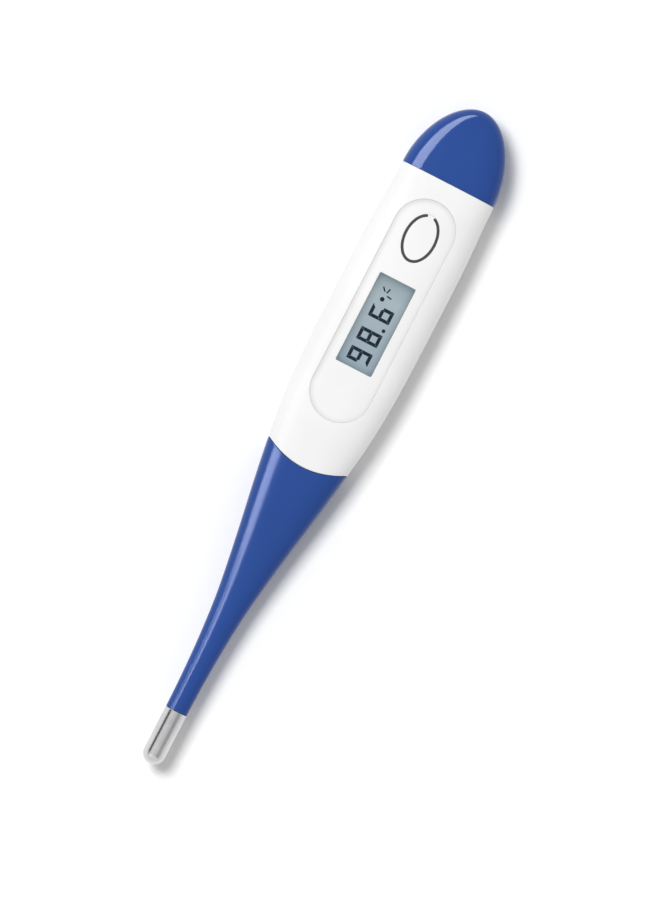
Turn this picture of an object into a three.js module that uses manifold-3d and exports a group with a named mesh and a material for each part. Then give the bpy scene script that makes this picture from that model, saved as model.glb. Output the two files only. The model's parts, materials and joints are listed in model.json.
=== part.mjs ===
// Flexible-tip digital thermometer: a white handle with a recessed front panel, display and
// power key, a pull-off battery cover, a slide-out electronics tray and a blue flexible stem
// that carries a stainless steel sensor tip.
// Millimetres. +X runs from the sensor tip to the battery cover, +Z up out of the display.
// The origin is on the resting surface, under the middle of the overall length.

import * as THREE from 'three';
import { mergeVertices } from 'three/addons/utils/BufferGeometryUtils.js';
import Module from 'manifold-3d';

const wasm = await Module();
wasm.setup();

// ---- Driving dimensions ----

const overallLength = 132;
const tipX = -overallLength / 2;
const capX = overallLength / 2;
const axisHeight = 5.8; // the stem's centre line above the resting surface
const assemblyGap = 0.3; // between fixed pieces that are cut by each other
const slideGap = 0.25; // between pieces that slide on each other
const pastEverything = [-5, 20]; // heights from below the whole object to above it
const restGap = 0.05; // between pieces that rest on each other
const joinOverlap = 1; // joined solids run this far into each other

// Half width and half thickness of the outer form at stations along X. The form is round at the
// sensor tip, swells into the handle, and is closed by the battery cover.
const halfWidthAt = smoothProfile([
  [-55.4, 2.1], [-46, 2.33], [-38.4, 2.8], [-32, 3.45], [-22, 4.98], [-12, 6.7],
  [-4, 7.95], [4, 8.98], [13, 9.55], [24, 9.7], [38, 9.68], [51.7, 9.25],
]);
const halfThicknessAt = smoothProfile([
  [-55.4, 2.1], [-46, 2.3], [-38.4, 2.6], [-32, 2.9], [-22, 3.6], [-12, 4.35],
  [-4, 4.95], [2, 5.45], [8, 5.78], [16, 5.9], [44, 5.9], [51.7, 5.75],
]);
const roundStemX = -45; // cross-sections are round up to here
const squaredBodyX = 5; // and fully squared from here on
const bodySquareness = 2.8; // superellipse exponent, 2 is an ellipse

const coverX = 51.7; // the battery cover's mouth
const coverLength = capX - coverX;
const coverPlanPower = 1.9;
const coverSidePower = 2.5;
const coverWall = 1.1;
const coverCavityEndX = 64.2;

const stemSeamX = -3.7; // handle-to-stem seam, at the two sides
const stemSeamBow = 2.25; // and how far its middle bows towards the tip
const noseEndX = -12; // the handle's nose inside the stem
const noseInset = 1.5;
const noseBoreRadius = 1.3;
const wireBoreRadius = 1;

const handleStartX = -6.5; // ahead of the seam, which trims it
const handleEndX = 51.4;
const landStartX = 8.5; // the flat land under the handle that it rests on
const landEndX = 50.5;
const landHalfWidth = 3.6;
const landThickness = 0.5;
const cavityStartX = -1;
const cavityEndX = 51.2;
const cavityDrop = 0.05; // the cavity's centre below the axis
const sideWall = 1.5;
const faceWall = 1.8; // the handle's walls above and below its cavity
const cavitySquareness = 4;
const spigotEndX = 55.6;
const spigotWall = 1.2;
const spigotInset = coverWall + slideGap;
const sealStartX = 52.8;
const sealEndX = 53.6;
const sealDepth = 0.45; // the seal's foot below the spigot's surface
const sealProud = 0.05; // and its crown above it
const sealGrooveDepth = 0.5;
const sealGrooveGap = 0.1;

const panelStartX = 3.7;
const panelEndX = 47.6;
const panelWidth = 11.5;
const recessDepth = 0.9;
const panelSink = 0.3; // the panel's face below the handle's surface
const panelThickness = 0.5;
const throughFace = [8, 14]; // heights from the cavity out past the handle's front face

const windowCentreX = 22.9;
const windowLength = 17.7;
const windowWidth = 7.2;
const windowLip = 0.3; // the lens and its seat reach this far under the panel
const lensBottomZ = 9.95;
const lensFlangeTopZ = 10.6;
const lensGap = 0.15; // round the lens, in its seat and in the panel's opening

const keyX = 40.3;
const keyLength = 9.3;
const keyWidth = 6.2;
const keyGap = 0.15; // round the key
const keyTravel = 0.4;
const keyBottomZ = 10;
const keySink = 0.2;
const switchHalfWidth = 2.2;
const switchTopZ = 8.6;
const switchStemRadius = 1.2;
const switchStemGap = 0.1; // left under the key when it is fully pressed

const boardTopZ = 5.2;
const boardThickness = 0.8;
const boardStartX = 10.4;
const boardStepX = 40.6;
const boardEndX = 46.2;
const boardHalfWidth = 6.55;
const boardTailHalfWidth = 4.55;

const displayTopZ = 9.45;
const displayThickness = 1.6;
const displayLength = 21.2;
const displayWidth = 10.4;
const displayFrameWall = 0.8;
const displayFrameGap = 0.2;
const displayFrameTopZ = 8.7;
const contactStripLength = 19.6;
const contactStripWidth = 0.8;
const contactStripMargin = 0.15; // from the display's long edges

const trayFloorZ = 2;
const trayFloorThickness = 0.7;
const trayStartX = 10;
const trayStepX = 41;
const trayHalfWidth = 7.3;
const trayFloorHalfWidth = 5.3;
const trayCornerHalfWidth = 6.2;
const trayCornerZ = 2.4; // the tray's underside steps up outside its floor, and again at its sides
const traySideZ = 2.9;
const traySideThickness = 0.6;
const trayLedge = 0.7;
const traySideTopZ = 5.2;
const trayTailX = 40.6;
const trayTailHalfWidth = 5.1;
const trayTailBottomZ = 3.35;
const trayTailFloorZ = 3.75;
const trayTailWall = 0.4;
const trayTailWallTopZ = 5.9;
const trayTailLedgeHalfWidth = 3.9;
const holderStartX = 46.9; // the button cell's holder
const holderTopZ = 7.7;
const trayEndX = 58.2;
const pullNotchInset = 0.5; // a slot near the holder's end for a fingernail
const pullNotchLength = 0.6;
const pullNotchHalfWidth = 3.4;
const pullNotchFloorZ = 6.2;

const cellX = 51.9;
const cellRadius = 3.95;
const cellHeight = 3.6;
const cellBottomZ = 4;
const cellGap = 0.2;
const cellPoleInset = 0.6; // the negative pole is narrower than the can
const cellPoleHeight = 0.5;

const contactSlotXs = [46, 48.6];
const contactSlotHalfWidth = 2.4;
const negativeContactXs = [45.6, 55];
const negativeContactZ = 3.87;
const negativeContactThickness = 0.16;
const negativeContactHalfWidth = 1.5;
const positiveContactPath = [[44.2, 5.33], [46.6, 5.33], [46.9, 5.6], [47.3, 6.5], [47.55, 7.3]];
const positiveContactThickness = 0.18;
const positiveContactHalfWidth = 1.8;

const chipX = 34.5; // the controller chip, bonded under the board in a dome of resin
const chipRadius = 2.9;
const chipHeight = 1.2;
const crystalPlace = [14.2, -3.2, 3.55];
const crystalRadius = 0.7;
const crystalLength = 5;
const buzzerX = 24.5;
const buzzerPlateRadius = 5.2;
const buzzerDiscRadius = 3.9;
const buzzerLayer = 0.25;
const chipPartX = 36.2; // the capacitor and the resistor on the board
const chipPartY = 3;
const chipPartLength = 1.6;
const chipPartWidth = 0.8;
const capacitorHeight = 0.9;
const resistorHeight = 0.5;

const hingeXs = [-18, -24.5, -31, -37.5, -44]; // the stem bends here
const linkClearance = 0.3;
const stemEndX = -55.1;

const tipRadius = 2.1;
const tipShoulderX = -55.4;
const tipNeckEndX = -52.6;
const tipNeckRadius = 1.5;
const neckSocketGap = 0.2;
const tipWall = 0.35;
const thermistorX = -63.5;
const thermistorRadius = 0.65;
const thermistorStretch = 1.3; // its length over its width
const fillerXs = [-62.3, -56.3];
const fillerGap = 0.2;
const fillerBoreRadius = 0.8;

const wireRadius = 0.24;
const wireSpacing = 0.8;
const wireStartX = -62.5;

// ---- Finishes ----

const finish = (color, roughness, metalness = 0) =>
  () => new THREE.MeshStandardMaterial({ color, roughness, metalness });
const whitePlastic = finish(0xf4f4f4, 0.45);
const bluePlastic = finish(0x2f4f97, 0.35);
const blueRubber = finish(0x2f4f97, 0.45);
const clearPlastic = finish(0xdfe8ec, 0.1);
const displayGlass = finish(0x9fb3bf, 0.15);
const darkRubber = finish(0x2b2d30, 0.8);
const greenBoard = finish(0x2f6b3f, 0.5);
const blackPlastic = finish(0x1c1c1e, 0.5);
const naturalPlastic = finish(0xe4e1d6, 0.5);
const steel = finish(0xb9bbbd, 0.3, 1);
const brass = finish(0xc8a85a, 0.35, 1);
const beigeCeramic = finish(0xb79a72, 0.6);
const epoxy = finish(0x6f5a3c, 0.4);
const redWire = finish(0xa8322c, 0.5);
const blackWire = finish(0x232323, 0.5);

// ---- Curves ----

// A smooth function through [x, value] points, level at both ends.
function smoothProfile(points) {
  const slope = (i) => {
    if (i === 0 || i === points.length - 1) return 0;
    const [[xa, a], , [xb, b]] = points.slice(i - 1, i + 2);
    return (b - a) / (xb - xa);
  };
  return (x) => {
    const last = points.length - 1;
    if (x <= points[0][0]) return points[0][1];
    if (x >= points[last][0]) return points[last][1];
    const i = points.findIndex((point) => point[0] > x) - 1;
    const [[x0, a], [x1, b]] = points.slice(i, i + 2);
    const span = x1 - x0;
    const t = (x - x0) / span;
    const rise = 3 * t * t - 2 * t * t * t;
    const leaving = t * (1 - t) * (1 - t);
    const arriving = t * t * (1 - t);
    return a + (b - a) * rise + span * (slope(i) * leaving - slope(i + 1) * arriving);
  };
}

// The outer form's half width, half thickness and squareness at x.
function outerSection(x) {
  if (x > coverX) {
    const reach = Math.min((x - coverX) / coverLength, 1);
    const narrowing = (power) => (1 - reach ** power) ** (1 / power);
    return {
      halfWidth: halfWidthAt(coverX) * narrowing(coverPlanPower),
      halfThickness: halfThicknessAt(coverX) * narrowing(coverSidePower),
      squareness: bodySquareness,
    };
  }
  const swell = THREE.MathUtils.smoothstep(x, roundStemX, squaredBodyX);
  return {
    halfWidth: halfWidthAt(x),
    halfThickness: halfThicknessAt(x),
    squareness: 2 + (bodySquareness - 2) * swell,
  };
}

// ---- Solids ----

function toSolid(geometry) {
  const bare = geometry.clone();
  bare.deleteAttribute('normal');
  bare.deleteAttribute('uv');
  const merged = mergeVertices(bare, 1e-5);
  return new wasm.Manifold(new wasm.Mesh({
    numProp: 3,
    vertProperties: new Float32Array(merged.attributes.position.array),
    triVerts: new Uint32Array(merged.index.array),
  }));
}

function toGeometry(solid) {
  const { numProp, vertProperties, triVerts } = solid.getMesh();
  const geometry = new THREE.BufferGeometry();
  const positions = new THREE.BufferAttribute(vertProperties.slice(), numProp);
  geometry.setAttribute('position', positions);
  geometry.setIndex(new THREE.BufferAttribute(triVerts.slice(), 1));
  return geometry;
}

function inset(section, amount) {
  return {
    ...section,
    halfWidth: Math.max(section.halfWidth - amount, 0.05),
    halfThickness: Math.max(section.halfThickness - amount, 0.05),
  };
}

// A closed skin over superelliptic sections: sections(x) gives each ring at the stations xs.
// Nothing reaches below the resting surface.
function loft(xs, sections, sides = 36) {
  const positions = [];
  const indices = [];
  for (const x of xs) {
    const { halfWidth, halfThickness, squareness, centreZ = axisHeight } = sections(x);
    for (let side = 0; side < sides; side += 1) {
      const angle = (2 * Math.PI * side) / sides;
      const across = Math.sign(Math.cos(angle)) * Math.abs(Math.cos(angle)) ** (2 / squareness);
      const up = Math.sign(Math.sin(angle)) * Math.abs(Math.sin(angle)) ** (2 / squareness);
      positions.push(x, halfWidth * across, Math.max(centreZ + halfThickness * up, 0));
    }
  }
  const ring = (station, side) => station * sides + (side % sides);
  for (let station = 0; station < xs.length - 1; station += 1) {
    for (let side = 0; side < sides; side += 1) {
      const [a, b] = [ring(station, side), ring(station, side + 1)];
      const [c, d] = [ring(station + 1, side), ring(station + 1, side + 1)];
      indices.push(a, b, c, b, d, c);
    }
  }
  const addEnd = (station, flip) => {
    const centre = positions.length / 3;
    positions.push(xs[station], 0, sections(xs[station]).centreZ ?? axisHeight);
    for (let side = 0; side < sides; side += 1) {
      const [a, b] = [ring(station, side), ring(station, side + 1)];
      indices.push(...(flip ? [centre, b, a] : [centre, a, b]));
    }
  };
  addEnd(0, true);
  addEnd(xs.length - 1, false);
  const geometry = new THREE.BufferGeometry();
  geometry.setAttribute('position', new THREE.Float32BufferAttribute(positions, 3));
  geometry.setIndex(indices);
  return toSolid(geometry);
}

function stationsBetween(start, end, count) {
  return Array.from({ length: count + 1 }, (_, i) => start + ((end - start) * i) / count);
}

// The outer form between two stations, drawn in by an inset.
function outerForm(start, end, count, depth = 0, sides = 32) {
  return loft(stationsBetween(start, end, count), (x) => inset(outerSection(x), depth), sides);
}

function box([x0, x1], [y0, y1], [z0, z1]) {
  const geometry = new THREE.BoxGeometry(x1 - x0, y1 - y0, z1 - z0);
  geometry.translate((x0 + x1) / 2, (y0 + y1) / 2, (z0 + z1) / 2);
  return toSolid(geometry);
}

function centredBox(xs, halfWidth, zs) {
  return box(xs, [-halfWidth, halfWidth], zs);
}

// A cylinder lying across the object, along Y.
function crossCylinder(x, radius, sides = 28) {
  const geometry = new THREE.CylinderGeometry(radius, radius, 30, sides);
  geometry.translate(x, 0, axisHeight);
  return toSolid(geometry);
}

// A cylinder along the object's axis.
function axialCylinder(start, end, radius, sides = 14) {
  const geometry = new THREE.CylinderGeometry(radius, radius, end - start, sides);
  geometry.rotateZ(Math.PI / 2);
  geometry.translate((start + end) / 2, 0, axisHeight);
  return toSolid(geometry);
}

function uprightCylinder(x, y, [z0, z1], radius, sides = 28) {
  const geometry = new THREE.CylinderGeometry(radius, radius, z1 - z0, sides);
  geometry.rotateX(Math.PI / 2);
  geometry.translate(x, y, (z0 + z1) / 2);
  return toSolid(geometry);
}

function extrudeUp(shape, [z0, z1], curveSegments = 10) {
  const geometry = new THREE.ExtrudeGeometry(shape, {
    depth: z1 - z0, bevelEnabled: false, curveSegments,
  });
  geometry.translate(0, 0, z0);
  return toSolid(geometry);
}

// A long rounded slot shape along X, drawn in by a margin.
function panelShape(margin) {
  const radius = panelWidth / 2 - margin;
  const shape = new THREE.Shape();
  shape.absarc(panelEndX - panelWidth / 2, 0, radius, -Math.PI / 2, Math.PI / 2);
  shape.absarc(panelStartX + panelWidth / 2, 0, radius, Math.PI / 2, 1.5 * Math.PI);
  return shape;
}

function keyShape(growth) {
  const shape = new THREE.Shape();
  shape.absellipse(keyX, 0, keyLength / 2 + growth, keyWidth / 2 + growth, 0, 2 * Math.PI);
  return shape;
}

// Everything on the cover's side of the bowed handle-to-stem seam.
function handleSide(shift) {
  const half = 12; // well outside the handle
  const sideX = stemSeamX + shift;
  const seamHalfWidth = halfWidthAt(stemSeamX);
  const bowAt = (y) => stemSeamBow * (1 - (y / seamHalfWidth) ** 2);
  const shape = new THREE.Shape();
  shape.moveTo(capX, -half);
  shape.lineTo(capX, half);
  for (const y of stationsBetween(half, -half, 16)) {
    shape.lineTo(sideX - Math.max(bowAt(y), 0), y);
  }
  return extrudeUp(shape, pastEverything);
}

const assembly = new THREE.Group();

function addPiece(name, shape, material, group = assembly) {
  const geometry = shape instanceof THREE.BufferGeometry ? shape : toGeometry(shape);
  const mesh = new THREE.Mesh(geometry, material());
  mesh.name = name;
  group.add(mesh);
}

// ---- Handle ----

// A box on the display window's plan, grown all round.
function windowBox(growth, zs) {
  const halfLength = windowLength / 2 + growth;
  const xs = [windowCentreX - halfLength, windowCentreX + halfLength];
  return centredBox(xs, windowWidth / 2 + growth, zs);
}

// A ring round the spigot at the seal, from a height above its surface to a depth below it.
function ringOnSpigot(gap, height, depth) {
  const [start, end] = [sealStartX - gap, sealEndX + gap];
  return outerForm(start, end, 1, spigotInset - height)
    .subtract(outerForm(start - gap, end + gap, 1, spigotInset + depth));
}

function handleShell() {
  const body = outerForm(handleStartX, handleEndX, 13).intersect(handleSide(0));
  const nose = outerForm(noseEndX, 0, 3, noseInset, 24);
  const spigot = outerForm(handleEndX - joinOverlap, spigotEndX, 2, spigotInset);
  const cavity = loft(stationsBetween(cavityStartX, cavityEndX, 6), (x) => ({
    halfWidth: outerSection(x).halfWidth - sideWall,
    halfThickness: outerSection(x).halfThickness - faceWall,
    squareness: cavitySquareness,
    centreZ: axisHeight - cavityDrop,
  }), 24);
  const spigotBore = outerForm(
    handleEndX - joinOverlap, spigotEndX + joinOverlap, 2, spigotInset + spigotWall,
  );
  const sealGroove = ringOnSpigot(sealGrooveGap, spigotInset, sealGrooveDepth);
  const recess = extrudeUp(panelShape(0), throughFace)
    .subtract(outerForm(0, handleEndX, 12, recessDepth));
  const lensSeat = windowBox(windowLip, throughFace);
  const keyHole = extrudeUp(keyShape(keyGap), throughFace);
  const land = centredBox([landStartX, landEndX], landHalfWidth, [0, landThickness]);
  return body.add(nose).add(spigot).add(land)
    .subtract(cavity).subtract(spigotBore).subtract(sealGroove)
    .subtract(recess).subtract(lensSeat).subtract(keyHole)
    .subtract(axialCylinder(noseEndX - joinOverlap, cavityStartX + 2, noseBoreRadius));
}

function frontPanel() {
  const underside = outerForm(
    -joinOverlap, handleEndX + joinOverlap, 9, panelSink + panelThickness,
  );
  return extrudeUp(panelShape(assemblyGap), throughFace)
    .intersect(outerForm(0, handleEndX, 9, panelSink))
    .subtract(underside)
    .subtract(windowBox(0, throughFace))
    .subtract(extrudeUp(keyShape(keyGap), throughFace));
}

// A clear plate behind the panel, with a raised face that fills the panel's opening.
function displayLens() {
  const face = windowBox(-lensGap, [lensBottomZ, throughFace[1]])
    .intersect(outerForm(0, handleEndX, 9, panelSink + restGap));
  return windowBox(windowLip - lensGap, [lensBottomZ, lensFlangeTopZ]).add(face);
}

function powerKey() {
  return extrudeUp(keyShape(0), [keyBottomZ, throughFace[1]])
    .intersect(outerForm(keyX - keyLength, handleEndX, 4, keySink));
}

addPiece('housing', handleShell(), whitePlastic);
addPiece('front_panel', frontPanel(), whitePlastic);
addPiece('display_window', displayLens(), clearPlastic);
addPiece('power_button', powerKey(), whitePlastic);
addPiece('cover_seal', ringOnSpigot(0, sealProud, sealDepth), darkRubber);

// ---- Battery cover ----

function batteryCover() {
  const capStations = (end, count) => Array.from({ length: count + 1 }, (_, i) => (
    coverX + (end - coverX) * Math.sin((Math.PI / 2) * (i / count))
  ));
  const shell = loft(capStations(capX, 9), (x) => inset(outerSection(x), 0), 32);
  const hollow = loft(
    [coverX - 1, ...capStations(coverCavityEndX, 6)],
    (x) => inset(outerSection(x), coverWall),
    28,
  );
  return shell.subtract(hollow);
}

addPiece('battery_cover', batteryCover(), bluePlastic);

// ---- Electronics tray and board ----

const tray = new THREE.Group();
assembly.add(tray);

const trayFloorTopZ = trayFloorZ + trayFloorThickness;
const displayZs = [displayTopZ - displayThickness, displayTopZ];
const boardPartsZ = boardTopZ + restGap; // the underside of what stands on the board

function carrierTray() {
  const sideInner = trayHalfWidth - traySideThickness;
  const channel = [trayStartX, trayStepX];
  const tailXs = [trayTailX, cellX];
  const ledgeTopZ = boardTopZ - boardThickness - restGap;
  const tailInner = trayTailHalfWidth - trayTailWall;
  let shape = centredBox(channel, trayFloorHalfWidth, [trayFloorZ, trayFloorTopZ]);
  for (const side of [-1, 1]) {
    const strip = (near, far, zs, xs) => box(xs, side > 0 ? [near, far] : [-far, -near], zs);
    shape = shape
      .add(strip(trayFloorHalfWidth - 0.1, trayCornerHalfWidth, [trayCornerZ, ledgeTopZ], channel))
      .add(strip(sideInner - trayLedge, sideInner, [traySideZ, ledgeTopZ], channel))
      .add(strip(sideInner, trayHalfWidth, [traySideZ, traySideTopZ], channel))
      .add(strip(tailInner, trayTailHalfWidth, [trayTailBottomZ, trayTailWallTopZ], tailXs))
      .add(strip(trayTailLedgeHalfWidth, tailInner + 0.1, [trayTailBottomZ, ledgeTopZ],
        [trayTailX, holderStartX]));
  }
  const joiner = centredBox([trayStepX - 1.5, trayStepX], trayTailHalfWidth, [2.2, 4]);
  const tail = centredBox([trayTailX - 0.6, holderStartX + 0.1], trayTailHalfWidth,
    [trayTailBottomZ, trayTailFloorZ]);
  const holder = centredBox([holderStartX, trayEndX], trayTailHalfWidth,
    [trayTailBottomZ, holderTopZ]);
  // The tail passes through the handle's spigot when the tray slides out.
  const spigotBore = inset(outerSection(spigotEndX), spigotInset + spigotWall + slideGap);
  const passage = loft([trayTailX, trayEndX + joinOverlap], () => spigotBore)
    .add(centredBox([trayStartX - joinOverlap, trayStepX], trayHalfWidth + 1, [0, holderTopZ]));
  const pastHolder = [trayTailFloorZ, holderTopZ + joinOverlap];
  const well = uprightCylinder(cellX, 0, pastHolder, cellRadius + cellGap);
  const contactSlot = centredBox(contactSlotXs, contactSlotHalfWidth, pastHolder);
  const notchEndX = trayEndX - pullNotchInset;
  const pullNotch = centredBox([notchEndX - pullNotchLength, notchEndX], pullNotchHalfWidth,
    [pullNotchFloorZ, holderTopZ + joinOverlap]);
  return shape.add(joiner).add(tail).add(holder)
    .subtract(well).subtract(contactSlot).subtract(pullNotch)
    .intersect(passage);
}

function circuitBoard() {
  const stepX = boardStepX - assemblyGap;
  const shape = new THREE.Shape();
  shape.moveTo(boardStartX, -boardHalfWidth);
  shape.lineTo(stepX, -boardHalfWidth);
  shape.lineTo(stepX, -boardTailHalfWidth);
  shape.lineTo(boardEndX, -boardTailHalfWidth);
  shape.lineTo(boardEndX, boardTailHalfWidth);
  shape.lineTo(stepX, boardTailHalfWidth);
  shape.lineTo(stepX, boardHalfWidth);
  shape.lineTo(boardStartX, boardHalfWidth);
  return extrudeUp(shape, [boardTopZ - boardThickness, boardTopZ]);
}

// A box on the display cell's plan, grown all round.
function displayBox(growth, zs) {
  const halfLength = displayLength / 2 + growth;
  const xs = [windowCentreX - halfLength, windowCentreX + halfLength];
  return centredBox(xs, displayWidth / 2 + growth, zs);
}

function displayFrame() {
  return displayBox(displayFrameGap + displayFrameWall, [boardPartsZ, displayFrameTopZ])
    .subtract(displayBox(displayFrameGap, [boardThickness, displayTopZ]));
}

// A rubber strip that joins the display to the board along one long edge.
function contactStrip(side) {
  const far = displayWidth / 2 - contactStripMargin;
  const near = far - contactStripWidth;
  return box(
    [windowCentreX - contactStripLength / 2, windowCentreX + contactStripLength / 2],
    side > 0 ? [near, far] : [-far, -near],
    [boardPartsZ, displayTopZ - displayThickness - restGap],
  );
}

function keySwitch() {
  const switchXs = [keyX - switchHalfWidth, keyX + switchHalfWidth];
  const actuatorTopZ = keyBottomZ - keyTravel - switchStemGap;
  return centredBox(switchXs, switchHalfWidth, [boardPartsZ, switchTopZ])
    .add(uprightCylinder(keyX, 0, [switchTopZ - 0.1, actuatorTopZ], switchStemRadius, 24));
}

// A low dome of cast resin over the bonded controller chip, under the board.
function controllerBlob() {
  const profile = [new THREE.Vector2(0, 0)];
  const steps = 6;
  for (let step = 0; step <= steps; step += 1) {
    const angle = (Math.PI / 2) * (step / steps);
    profile.push(new THREE.Vector2(chipRadius * Math.cos(angle), chipHeight * Math.sin(angle)));
  }
  profile[profile.length - 1].x = 0;
  const geometry = new THREE.LatheGeometry(profile, 24);
  geometry.rotateX(-Math.PI / 2);
  geometry.translate(chipX, 0, boardTopZ - boardThickness - restGap);
  return toSolid(geometry);
}

function timingCrystal() {
  const geometry = new THREE.CylinderGeometry(crystalRadius, crystalRadius, crystalLength, 16);
  geometry.rotateZ(Math.PI / 2);
  geometry.translate(...crystalPlace);
  return geometry;
}

// A ceramic disc on a brass plate, lying on the tray's floor.
function piezoBuzzer() {
  const plateZ = trayFloorTopZ + restGap;
  const discZ = plateZ + buzzerLayer;
  return uprightCylinder(buzzerX, 0, [plateZ, discZ], buzzerPlateRadius, 32)
    .add(uprightCylinder(buzzerX, 0, [discZ - restGap, discZ + buzzerLayer], buzzerDiscRadius, 32));
}

// A thin strip bent in the XZ plane: its path is thickened and given a width along Y.
function bentStrip(path, thickness, halfWidth) {
  const at = (i) => new THREE.Vector2(...path[Math.min(Math.max(i, 0), path.length - 1)]);
  const edge = (side) => path.map((_, i) => {
    const along = at(i + 1).sub(at(i - 1)).normalize();
    return at(i).add(new THREE.Vector2(-along.y, along.x).multiplyScalar((side * thickness) / 2));
  });
  const shape = new THREE.Shape([...edge(1), ...edge(-1).reverse()]);
  const geometry = new THREE.ExtrudeGeometry(shape, { depth: 2 * halfWidth, bevelEnabled: false });
  geometry.rotateX(Math.PI / 2);
  geometry.translate(0, halfWidth, 0);
  return toSolid(geometry);
}

function negativeContact() {
  const [startX, endX] = negativeContactXs;
  const path = [startX, contactSlotXs[1], endX].map((x) => [x, negativeContactZ]);
  return bentStrip(path, negativeContactThickness, negativeContactHalfWidth);
}

function positiveContact() {
  return bentStrip(positiveContactPath, positiveContactThickness, positiveContactHalfWidth);
}

function buttonCell() {
  const poleTopZ = cellBottomZ + cellPoleHeight;
  return uprightCylinder(cellX, 0, [poleTopZ, cellBottomZ + cellHeight], cellRadius)
    .add(uprightCylinder(cellX, 0, [cellBottomZ, poleTopZ + 0.1], cellRadius - cellPoleInset));
}

function chipPart(y, height) {
  return box(
    [chipPartX - chipPartLength / 2, chipPartX + chipPartLength / 2],
    [y - chipPartWidth / 2, y + chipPartWidth / 2],
    [boardPartsZ, boardPartsZ + height],
  );
}

addPiece('carrier_tray', carrierTray(), naturalPlastic, tray);
addPiece('circuit_board', circuitBoard(), greenBoard, tray);
addPiece('display_glass', displayBox(0, displayZs), displayGlass, tray);
addPiece('display_frame', displayFrame(), whitePlastic, tray);
addPiece('contact_strip_left', contactStrip(1), darkRubber, tray);
addPiece('contact_strip_right', contactStrip(-1), darkRubber, tray);
addPiece('key_switch', keySwitch(), blackPlastic, tray);
addPiece('controller_chip', controllerBlob(), blackPlastic, tray);
addPiece('timing_crystal', timingCrystal(), steel, tray);
addPiece('piezo_buzzer', piezoBuzzer(), brass, tray);
addPiece('capacitor', chipPart(chipPartY, capacitorHeight), beigeCeramic, tray);
addPiece('resistor', chipPart(-chipPartY, resistorHeight), blackPlastic, tray);
addPiece('negative_contact', negativeContact(), steel, tray);
addPiece('positive_contact', positiveContact(), steel, tray);
addPiece('button_cell', buttonCell(), steel, tray);

// ---- Flexible stem ----

const stem = new THREE.Group();
assembly.add(stem);

const wireBore = () => axialCylinder(stemEndX - joinOverlap, 3, wireBoreRadius);

// The socket that each length of stem has for the rounded end of the next one.
function socketAt(x) {
  return crossCylinder(x, halfThicknessAt(x) + linkClearance);
}

function stemRoot() {
  const nosePocket = outerForm(noseEndX - assemblyGap, 2, 3, noseInset - assemblyGap, 24);
  return outerForm(hingeXs[0], 0, 6, 0, 28)
    .subtract(handleSide(-assemblyGap))
    .subtract(nosePocket)
    .subtract(socketAt(hingeXs[0]))
    .subtract(wireBore());
}

function stemLink(index) {
  const hingeX = hingeXs[index];
  const isLast = index === hingeXs.length - 1;
  const roundRadius = halfThicknessAt(hingeX) - restGap;
  const farX = isLast ? stemEndX : hingeXs[index + 1];
  const beyondHinge = centredBox([hingeX, hingeX + 2 * roundRadius], overallLength, pastEverything)
    .subtract(crossCylinder(hingeX, roundRadius));
  const link = outerForm(farX, hingeX + roundRadius + 0.2, 4, 0, 24).subtract(beyondHinge);
  const bored = link.subtract(wireBore());
  if (!isLast) return bored.subtract(socketAt(farX));
  return bored.subtract(
    axialCylinder(farX - joinOverlap, tipNeckEndX + assemblyGap, tipNeckRadius + neckSocketGap),
  );
}

// A drawn steel cup with a round nose and a reduced neck that is held in the stem.
function sensorTip() {
  const innerRadius = tipRadius - tipWall;
  const noseCentreX = tipX + tipRadius;
  const arc = (radius, steps, reverse) => {
    const points = Array.from({ length: steps + 1 }, (_, i) => {
      const angle = (Math.PI / 2) * (i / steps);
      return new THREE.Vector2(
        i === 0 ? 0 : radius * Math.sin(angle),
        noseCentreX - radius * Math.cos(angle),
      );
    });
    return reverse ? points.reverse() : points;
  };
  const profile = [
    ...arc(tipRadius, 6, false),
    new THREE.Vector2(tipRadius, tipShoulderX),
    new THREE.Vector2(tipNeckRadius, tipShoulderX),
    new THREE.Vector2(tipNeckRadius, tipNeckEndX),
    new THREE.Vector2(tipNeckRadius - tipWall, tipNeckEndX),
    new THREE.Vector2(tipNeckRadius - tipWall, tipShoulderX - tipWall),
    new THREE.Vector2(innerRadius, tipShoulderX - tipWall),
    ...arc(innerRadius, 4, true),
  ];
  return alongAxis(new THREE.LatheGeometry(profile, 18));
}

// Turns a lathe form, whose axis is Y, onto the object's axis.
function alongAxis(geometry) {
  geometry.rotateZ(-Math.PI / 2);
  geometry.translate(0, 0, axisHeight);
  return geometry;
}

function thermistorBead() {
  const geometry = new THREE.SphereGeometry(thermistorRadius, 12, 8);
  geometry.scale(thermistorStretch, 1, 1);
  geometry.translate(thermistorX, 0, axisHeight);
  return geometry;
}

function tipFiller() {
  const [start, end] = fillerXs;
  return axialCylinder(start, end, tipRadius - tipWall - fillerGap)
    .subtract(axialCylinder(start - joinOverlap, end + joinOverlap, fillerBoreRadius));
}

// A sensor lead: straight through the stem, then in a loose bend to the board's front edge, which
// leaves the slack that the tray needs when it is pulled out.
function leadWire(side) {
  const y = (side * wireSpacing) / 2;
  const path = new THREE.CatmullRomCurve3([
    new THREE.Vector3(wireStartX, y, axisHeight),
    new THREE.Vector3(-30, y, axisHeight),
    new THREE.Vector3(-8, y, axisHeight),
    new THREE.Vector3(-3, y, axisHeight),
    new THREE.Vector3(1.5, side * 1.2, axisHeight),
    new THREE.Vector3(5.5, side * 3.4, axisHeight + 0.3),
    new THREE.Vector3(8.6, side * 3, axisHeight + 0.2),
    new THREE.Vector3(11.1, side * 1.8, boardTopZ + wireRadius + 0.06),
  ]);
  const section = new THREE.Shape();
  section.absarc(0, 0, wireRadius, 0, 2 * Math.PI);
  return new THREE.ExtrudeGeometry(section, {
    steps: 36, curveSegments: 3, bevelEnabled: false, extrudePath: path,
  });
}

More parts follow.
